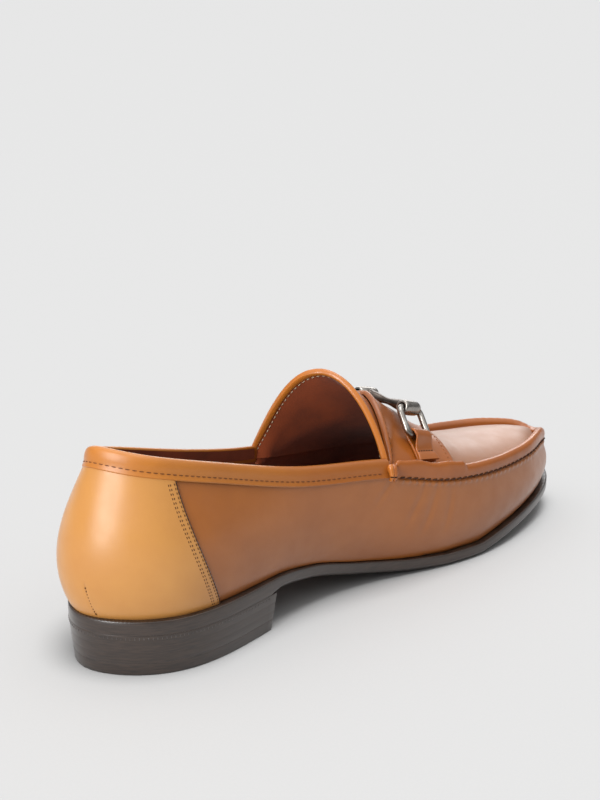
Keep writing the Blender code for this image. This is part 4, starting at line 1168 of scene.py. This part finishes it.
SADDLE_THICKNESS = 0.0018
SADDLE_ROLL = 0.0007
SADDLE_ROWS = (-0.42, 1.54)
SADDLE_REACH = 0.950
SADDLE_BASE = 2 * GAP    # underside of the saddle over the tongue
SADDLE_SEWING = (0.0027, 0.0020, 0.0004)
saddle_rings, rear_path, front_path = [], [], []
for across in np.linspace(-SADDLE_REACH, SADDLE_REACH, 90):
    first, last = SADDLE_ROWS
    roll_end = row_after(first, across, BINDING_WIDTH)
    lip = first + (roll_end - first) * np.array([0.0, 0.07, 0.25, 0.5, 0.78, 1.0])
    body = np.linspace(row_after(roll_end, across, 0.0006), last - 0.05, 24)
    rows = np.concatenate([lip, body, [last - 0.02, last]])
    top = SADDLE_BASE + SADDLE_THICKNESS
    heights = np.full(len(rows), top)
    heights[:6] = top + SADDLE_ROLL * np.array([-1.3, 0.1, 0.85, 1.0, 0.7, -0.25])
    heights[-3:] = (top, top - 0.0002, top - 0.0009)
    swell = 0.00025 * np.exp(-((rows - 0.9) / 0.25) ** 2) * (1 - abs(across)) * math.sin(5 * across)
    saddle_rings.append(strap_ring(across, rows, heights + swell, np.full(len(rows), SADDLE_BASE)))
    rear = row_after(first, across, BINDING_WIDTH + 0.0011)
    rear_path.append(on_instep(rear, across, top))
    front_path.append(on_instep(first + (last - first) * 0.93, across, top))
saddle = loft("saddle_strap", saddle_rings, closed=True, capped=True)
saddle_calf = tan_calf("saddle calf", (0.37, 0.102, 0.010), (0.19, 0.045, 0.005), 0.42, 0.16)
on_shoe(saddle, "tan_leather", saddle_calf, "saddle")
sewn("saddle_stitches_rear", rear_path, SADDLE_SEWING, tan_thread)
sewn("saddle_stitches_front", front_path, SADDLE_SEWING, tan_thread)


def tube(name, path, radii):
    """A round roll along a smooth line through a few points, each with its radius; its ends are closed."""
    places = [Vector(through(path, share)) for share in np.linspace(0, 1, 30)]
    sizes = [float(through([(radius,) for radius in radii], share)[0]) for share in np.linspace(0, 1, 30)]
    turns = [2 * math.pi * k / 14 for k in range(14)]
    rings = []
    for k, place in enumerate(places):
        along = (places[min(29, k + 1)] - places[max(0, k - 1)]).normalized()
        across = along.cross(UP).normalized()
        other = along.cross(across)
        rings.append([place + (across * math.cos(a) + other * math.sin(a)) * sizes[k] for a in turns])
    return loft(name, rings, closed=True, capped=True)


# Where each roll curls out and is sewn in: name, row and height of it on the instep, stations of its feet
# on the inner and the outer seam, radius, finish
ROLL_FEET = (
    ("saddle_roll_foot", SADDLE_ROWS[0] + 0.04, 0.0022, (4.995, 4.94), 0.00150, saddle_calf),
    ("binding_roll_foot", -0.95, -0.0008, (4.950, 4.80), 0.00125, binding_calf),
)
FOOT_OVER_SEAM = ((0.0014, 0.0058), (0.0024, 0.0038), (0.0028, 0.0014), (0.0021, -0.0008))   # out, up
FOOT_RADII = (0.7, 0.95, 1.0, 1.0, 1.0, 1.0, 0.9, 0.5)
OUTER_CLOSER = 0.55      # the outer feet lie closer to the seam
for name, row, high, (inner_end, outer_end), radius, finish in ROLL_FEET:
    radii = [radius * share for share in FOOT_RADII]
    sides = (("inner", -1, inner_end, 1.0), ("outer", 1, ROUND - outer_end, OUTER_CLOSER))
    for hand, turn, station, close in sides:
        path = [on_instep(row, turn * across, high)[0] for across in (0.84, 0.90, 0.95, 0.985)]
        for out, up in FOOT_OVER_SEAM:
            path.append(seam(station) + LAST.outward(station, 2) * out * close + UP * up)
        roll_foot = tube(f"{name}_{hand}", [tuple(place) for place in path], radii)
        on_shoe(roll_foot, "tan_leather", finish)

# The bit: a cast and turned bar whose two ends carry a bored sleeve, with an oblong ring of wire through
# each. It is nickel plated, brushed and then darkened, so that the recesses stay dark.

BIT_ASIDE = -0.0030
BIT_SPAN = 0.029
BIT_LIFT = 0.0017
BIT_PLACE = 0.607
BAR_END = 0.0056
BAR_MIDDLE = 0.0032
BAR_TAPER = 0.85
SLEEVE_DIAMETER = 0.0074
SLEEVE_LENGTH = 0.0116
WIRE = 0.0032
WIRE_CLEARANCE = 0.0004
RING_LENGTH = 0.0165
RING_CORNER = 0.0036
TAB_WIDTH = 0.0126
TAB_LEATHER = 0.0013
TAB_TAIL = 0.0115
TAB_ASIDE = 0.0205
TAB_BACK = 0.0045
TAB_CLOSING = 0.55
TAB_CREASE = 0.62        # where the stitched crease lies, as a share of the tail
TAB_SEWING = (0.0019, 0.0016, 0.00055)
TAB_LOOSE = (-0.0004, 0.0007)   # how far its upper layer stands off, pressed down and left loose
ON_SADDLE = 3 * GAP + SADDLE_THICKNESS


def instep_at(x, y):
    """The instep's point and normal over a place in plan."""
    row, across = 0.4, math.copysign(0.4, y - BIT_ASIDE)
    for _ in range(12):
        here = instep(row, across)
        by_row = (instep(row + 0.01, across) - here) / 0.01
        by_across = (instep(row, across + 0.01) - here) / 0.01
        area = by_row.x * by_across.y - by_row.y * by_across.x
        dx, dy = x - here.x, y - here.y
        row = max(SADDLE_ROWS[0], row + (dx * by_across.y - dy * by_across.x) / area)
        across += (dy * by_row.x - dx * by_row.y) / area
        across = max(-0.99, min(0.99, across))
    return on_instep(row, across)


def bit_places():
    """For each ring: the middle of its sleeve, the middle of its other side, and its length's run."""
    bar_x = BIT_PLACE * SOLE_LENGTH - HEEL_MIDDLE * HEEL_LENGTH
    crown = instep_at(bar_x, BIT_ASIDE)[0]
    radius = WIRE / 2 + WIRE_CLEARANCE + TAB_LEATHER
    height = crown.z + ON_SADDLE + BIT_LIFT + BAR_MIDDLE / 2
    places = []
    for turn in (-1, 1):
        sleeve = Vector((bar_x, BIT_ASIDE + turn * BIT_SPAN / 2, height))
        foot, normal = instep_at(bar_x - TAB_BACK, BIT_ASIDE + turn * TAB_ASIDE)
        eye = foot + normal * (ON_SADDLE + radius)
        down = (eye - sleeve).normalized()
        run = Vector((1, 0, 0)) - normal * normal.x
        run = (run - down * run.dot(down)).normalized()
        short = 0.0
        for along in (-TAB_WIDTH / 2, TAB_WIDTH / 2):
            edge = instep_at(foot.x + run.x * along, foot.y + run.y * along)[0]
            short = max(short, (edge - foot - run * along).dot(normal))
        places.append((sleeve, eye + normal * short, run))
    return places


def lathe(name, profile, middle, axis, sides, closed=False):
    """A profile of (radius, height) turned about an axis."""
    across = axis.orthogonal().normalized()
    other = axis.cross(across)
    rings = []
    for k in range(sides):
        angle = 2 * math.pi * k / sides
        out = across * math.cos(angle) + other * math.sin(angle)
        rings.append([middle + axis * height + out * max(radius, 0.000001) for radius, height in profile])
    return loft(name, rings, around_it=True, closed=closed)


def old_nickel(name, bright=(0.42, 0.395, 0.365), dull=(0.22, 0.20, 0.18)):
    """Nickel plate, brushed and darkened: worn bright on the crowns, nearly black in the corners."""
    nickel = Finish(name, Metallic=1.0, Coat_Weight=0.1, Coat_Roughness=0.2)
    brushed = nickel.noise(500.0, 5.0, nickel.stretched(1.0, 0.18, 1.0))
    tarnish = nickel.noise(190.0, 4.0)
    colour = nickel.blend(nickel.span(tarnish, 0.35, 0.7), bright, dull)
    folds = nickel.node("NewGeometry").outputs["Pointiness"]
    colour = nickel.blend(nickel.span(folds, 0.50, 0.40, 0.0, 0.85), colour, (0.05, 0.043, 0.038))
    nickel.height(brushed, 0.05, 0.0001)
    return nickel.done(Base_Color=colour, Roughness=nickel.span(brushed, 0.3, 0.7, 0.22, 0.36))


nickel = old_nickel("old nickel")
ENDS = bit_places()
half = BIT_SPAN / 2
bar_profile = []
for k in range(41):
    share = k / 20 - 1
    reach = half - SLEEVE_DIAMETER * 0.36
    grown = ease(abs(share) / BAR_TAPER)
    collar_bead = 0.00035 * math.exp(-((abs(share) - 0.93) / 0.05) ** 2)
    bar_profile.append((BAR_MIDDLE / 2 + (BAR_END - BAR_MIDDLE) / 2 * grown + collar_bead, reach * share))
bar_middle = (ENDS[0][0] + ENDS[1][0]) / 2
# The bar takes a darker, browner copy of the nickel: painted shade, and a painted reflection of the leather
# round it.
bar_nickel_in_painted_shade = old_nickel("nickel of the bar in painted shade", (0.13, 0.105, 0.09), (0.07, 0.055, 0.047))
shaft = lathe("bit_bar_shaft", bar_profile, bar_middle, Vector((0, 1, 0)), 40)
on_shoe(shaft, "old_nickel", bar_nickel_in_painted_shade, "bit_bar")
for hand, (sleeve, eye, run) in zip(("inner", "outer"), ENDS):
    radius, long, bore = SLEEVE_DIAMETER / 2, SLEEVE_LENGTH / 2, WIRE / 2 + WIRE_CLEARANCE
    down = (eye - sleeve).normalized()
    mouth = [(radius, 0.0), (radius * 0.985, long * 0.45), (radius * 0.95, long * 0.75),
             (radius * 0.89, long * 0.95), (radius * 0.78, long), (bore * 1.12, long), (bore, long * 0.93),
             (bore, 0.0)]
    profile = mouth + [(r, -h) for r, h in mouth[-2:0:-1]]
    on_shoe(lathe(f"bit_sleeve_{hand}", profile, sleeve, run, 40, closed=True), "old_nickel", nickel)
    width, reach = (eye - sleeve).length, RING_LENGTH / 2
    corner = min(RING_CORNER, width * 0.45)
    path = []
    for turn, (x, y) in enumerate(((reach - corner, corner), (reach - corner, width - corner),
                                   (corner - reach, width - corner), (corner - reach, corner))):
        for k in range(13):
            angle = math.radians(-90 + 90 * turn + 7.5 * k)
            lengthwise, crosswise = x + corner * math.cos(angle), y + corner * math.sin(angle)
            path.append(sleeve + run * lengthwise + down * crosswise)
    plane = run.cross(down).normalized()
    rings = []
    for k, point in enumerate(path):
        along = (path[(k + 1) % len(path)] - path[k - 1]).normalized()
        aside = along.cross(plane)
        turns = [2 * math.pi * t / 20 for t in range(20)]
        rings.append([point + (aside * math.cos(a) + plane * math.sin(a)) * WIRE / 2 for a in turns])
    ring = loft(f"bit_ring_wire_{hand}", rings, around_it=True, closed=True)
    on_shoe(ring, "old_nickel", nickel, f"bit_ring_{hand}")

# The tabs: two short straps of calf, each turned round its ring's wire and sewn to the saddle by a row of
# stitches, which pinches its two layers together into a crease.


def down_the_saddle(start, direction, distances):
    base, normal = instep_at(start.x, start.y)
    found, gone = [], 0.0
    for distance in distances:
        tangent = (direction - normal * direction.dot(normal)).normalized()
        ahead = base + tangent * (distance - gone)
        base, normal = instep_at(ahead.x, ahead.y)
        gone = distance
        found.append((base + normal * ON_SADDLE, normal))
    return found


def tab_lines(eye, sleeve, run, shares):
    """For each share across the tab, its middle line and normals: under, round the wire, and back over."""
    radius = WIRE / 2 + WIRE_CLEARANCE + TAB_LEATHER / 2
    under, over = TAB_LEATHER / 2, 1.5 * TAB_LEATHER + GAP / 2
    down = (eye - sleeve).normalized()
    lines = []
    for share in shares:
        middle = eye + run * share * TAB_WIDTH
        start = middle - instep_at(middle.x, middle.y)[1] * (radius + ON_SADDLE)
        distances = [TAB_TAIL * k / 14 for k in range(15)]
        steps = down_the_saddle(start, down, distances)
        foot, normal = steps[0]
        height = (middle - foot).dot(normal) + radius
        square = (normal - down * normal.dot(down)).normalized()
        line = [(place + up * under, -up) for place, up in steps[:0:-1]]
        for step in range(13):
            angle = math.radians(-90 - 15 * step)
            out = down * math.cos(angle) + square * math.sin(angle)
            line.append((middle + out * radius, out))
        for distance, (place, up) in zip(distances[1:], steps[1:]):
            closing = ease(distance / (TAB_CLOSING * TAB_TAIL))
            loose = over + TAB_LOOSE[0] + TAB_LOOSE[1] * pinched(distance)
            aside = run * share * TAB_WIDTH * (flared(distance) - 1)
            line.append((place + aside + up * (height + (loose - height) * closing), up))
        lines.append(line)
    return lines


def pinched(distance):
    """How high the two layers stay over each other: pressed down at the crease, loose again behind it."""
    return 1 - 0.75 * math.exp(-((distance / TAB_TAIL - TAB_CREASE) / 0.11) ** 2)


def flared(distance):
    return 1 + 0.16 * ease((distance / TAB_TAIL - TAB_CREASE) / 0.4)


TAB_SHARES = (-0.5, -0.49, -0.46, -0.38, -0.2, 0.0, 0.2, 0.38, 0.46, 0.49, 0.5)
TAB_ROUND = (0.30, 0.72, 0.96, 1.0, 1.0, 1.0, 1.0, 1.0, 0.96, 0.72, 0.30)
tab_calf = tan_calf("tab calf", (0.37, 0.102, 0.010), (0.19, 0.045, 0.005), 0.42, 0.16)
for hand, (sleeve, eye, run) in zip(("inner", "outer"), ENDS):
    lines = tab_lines(eye, sleeve, run, TAB_SHARES)
    rings = []
    count = len(lines[0])
    for k in range(count):
        half_thick = TAB_LEATHER / 2
        outer = [line[k][0] + line[k][1] * half_thick * edge for line, edge in zip(lines, TAB_ROUND)]
        inner = [line[k][0] - line[k][1] * half_thick * edge for line, edge in zip(lines, TAB_ROUND)]
        rings.append(outer + inner[::-1])
    tab = loft(f"bit_tab_leather_{hand}", rings, closed=True, capped=True)
    on_shoe(tab, "tan_leather", tab_calf, f"bit_tab_{hand}")
    crease = count - 14 + int(TAB_CREASE * 13)
    path = [(line[crease][0] + line[crease][1] * TAB_LEATHER / 2, line[crease][1]) for line in lines[1:10]]
    sewn(f"bit_tab_stitches_{hand}", path, TAB_SEWING, dark_thread)

# The studio: pale paper under the shoe and far out behind it, soft light from above and all round, a large
# softbox behind the toe, two smaller ones overhead and to the left, one light that falls on the paper
# alone, and the camera at the photograph's place.

STUDIO_LIGHT = (0.14, 1.66)   # strength of the air at the horizon and straight overhead
GATHERED = 2.0           # how much the air's light gathers overhead
BACKDROP_GREY = 0.80
PAPER = (0.42, 0.42, 0.42)
PAPER_LIGHT = 3.28       # strength and spread of the sun-like light that falls on the paper alone
PAPER_LIGHT_SPREAD = 30.0
ROUND_THE_FOOT = 41.9    # degrees from straight behind the shoe's side, towards the heel
LOOKING_DOWN = 18.0
DISTANCE = 0.700
FOCUS = 1458.8           # focal length in pixels of the 600 x 800 photograph
AIM = (333.8, 489.2)     # pixel where the aimed point lies
AIMED_POINT = Vector((0.150 - HEEL_MIDDLE * HEEL_LENGTH, 0.0, 0.040))
PHOTO_HEIGHT = 800
SENSOR_HEIGHT = 36.0


def pale_paper(name):
    """Seamless studio paper: matt, with a barely visible tooth."""
    paper = Finish(name, Roughness=0.85, Specular_IOR_Level=0.15)
    tooth = paper.noise(900.0, 2.0)
    paper.height(tooth, 0.05, 0.0001)
    colour = paper.blend(paper.span(tooth, 0.3, 0.7), PAPER, tuple(0.985 * c for c in PAPER))
    return paper.done(Base_Color=colour)


turn, tilt = math.radians(ROUND_THE_FOOT), math.radians(LOOKING_DOWN)
forward = Vector((math.sin(turn) * math.cos(tilt), math.cos(turn) * math.cos(tilt), -math.sin(tilt)))
right = Vector((math.cos(turn), -math.sin(turn), 0))
upward = right.cross(forward)
aside, above = (AIM[0] - 300) / FOCUS, (PHOTO_HEIGHT / 2 - AIM[1]) / FOCUS
eye_place = AIMED_POINT - DISTANCE * (forward + aside * right + above * upward)
lens = bpy.data.cameras.new("camera")
lens.sensor_fit = "VERTICAL"
lens.sensor_height = SENSOR_HEIGHT
lens.lens = FOCUS * SENSOR_HEIGHT / PHOTO_HEIGHT
lens.clip_start = 0.01
camera = bpy.data.objects.new("camera", lens)
camera.location = eye_place
camera.rotation_euler = forward.to_track_quat("-Z", "Y").to_euler()
bpy.context.scene.collection.objects.link(camera)
bpy.context.scene.camera = camera

FLOOR_HALF = 45.0        # the paper runs on past the picture's upper edge
floor_corners = [(FLOOR_HALF * x, FLOOR_HALF * y, 0) for x, y in ((-1, -1), (1, -1), (1, 1), (-1, 1))]
floor = piece_of("paper_floor", floor_corners, [(0, 1, 2, 3)])
floor.data.materials.append(pale_paper("pale paper"))

# Softboxes: name, place, what it is turned to, width, height, power in watts. They light the shoe alone,
# so that the paper keeps one even grey.
SOFTBOXES = (
    ("behind_toe", (1.40, 1.50, 0.78), (0.16, 0.0, 0.05), 1.9, 0.9, 17.0),
    ("overhead", (0.20, 0.15, 1.50), (0.08, 0.0, 0.03), 0.9, 0.9, 7.0),
    ("left", (-1.15, -0.30, 0.62), (-0.02, 0.0, 0.05), 0.45, 1.1, 18.0),
)
lit = bpy.data.collections.new("lit_by_softboxes")
for thing in bpy.context.scene.objects:
    if thing.type == "MESH" and thing != floor:
        lit.objects.link(thing)
for name, place, target, width, height, power in SOFTBOXES:
    light = bpy.data.lights.new(name, "AREA")
    light.shape = "RECTANGLE"
    light.size = width
    light.size_y = height
    light.energy = power
    lamp = bpy.data.objects.new(name, light)
    lamp.location = place
    lamp.rotation_euler = (Vector(target) - Vector(place)).to_track_quat("-Z", "Y").to_euler()
    lamp.light_linking.receiver_collection = lit
    bpy.context.scene.collection.objects.link(lamp)

paper_only = bpy.data.collections.new("lit_by_the_paper_light")
paper_only.objects.link(floor)
high = bpy.data.lights.new("paper_light", "SUN")
high.energy = PAPER_LIGHT
high.angle = math.radians(PAPER_LIGHT_SPREAD)
high_lamp = bpy.data.objects.new("paper_light", high)
high_lamp.rotation_euler = Vector((0.08, 0.12, -1.0)).to_track_quat("-Z", "Y").to_euler()
high_lamp.light_linking.receiver_collection = paper_only
bpy.context.scene.collection.objects.link(high_lamp)

world = bpy.data.worlds.new("studio air")
world.use_nodes = True
air = world.node_tree
overhead_share = air.nodes.new("ShaderNodeSeparateXYZ")
air.links.new(air.nodes.new("ShaderNodeTexCoord").outputs["Generated"], overhead_share.inputs["Vector"])
glow = air.nodes.new("ShaderNodeMapRange")
gathered = air.nodes.new("ShaderNodeMath")
gathered.operation = "POWER"
gathered.use_clamp = True
air.links.new(overhead_share.outputs["Z"], gathered.inputs[0])
gathered.inputs[1].default_value = GATHERED
air.links.new(gathered.outputs["Value"], glow.inputs["Value"])
glow.inputs["To Min"].default_value, glow.inputs["To Max"].default_value = STUDIO_LIGHT
shown = air.nodes.new("ShaderNodeMix")
air.links.new(air.nodes.new("ShaderNodeLightPath").outputs["Is Camera Ray"], shown.inputs["Factor"])
air.links.new(glow.outputs["Result"], shown.inputs["A"])
shown.inputs["B"].default_value = BACKDROP_GREY
air.links.new(shown.outputs["Result"], air.nodes["Background"].inputs["Strength"])
air.nodes["Background"].inputs["Color"].default_value = (1.0, 1.0, 1.0, 1.0)
bpy.context.scene.world = world
bpy.context.scene.view_settings.view_transform = "Standard"
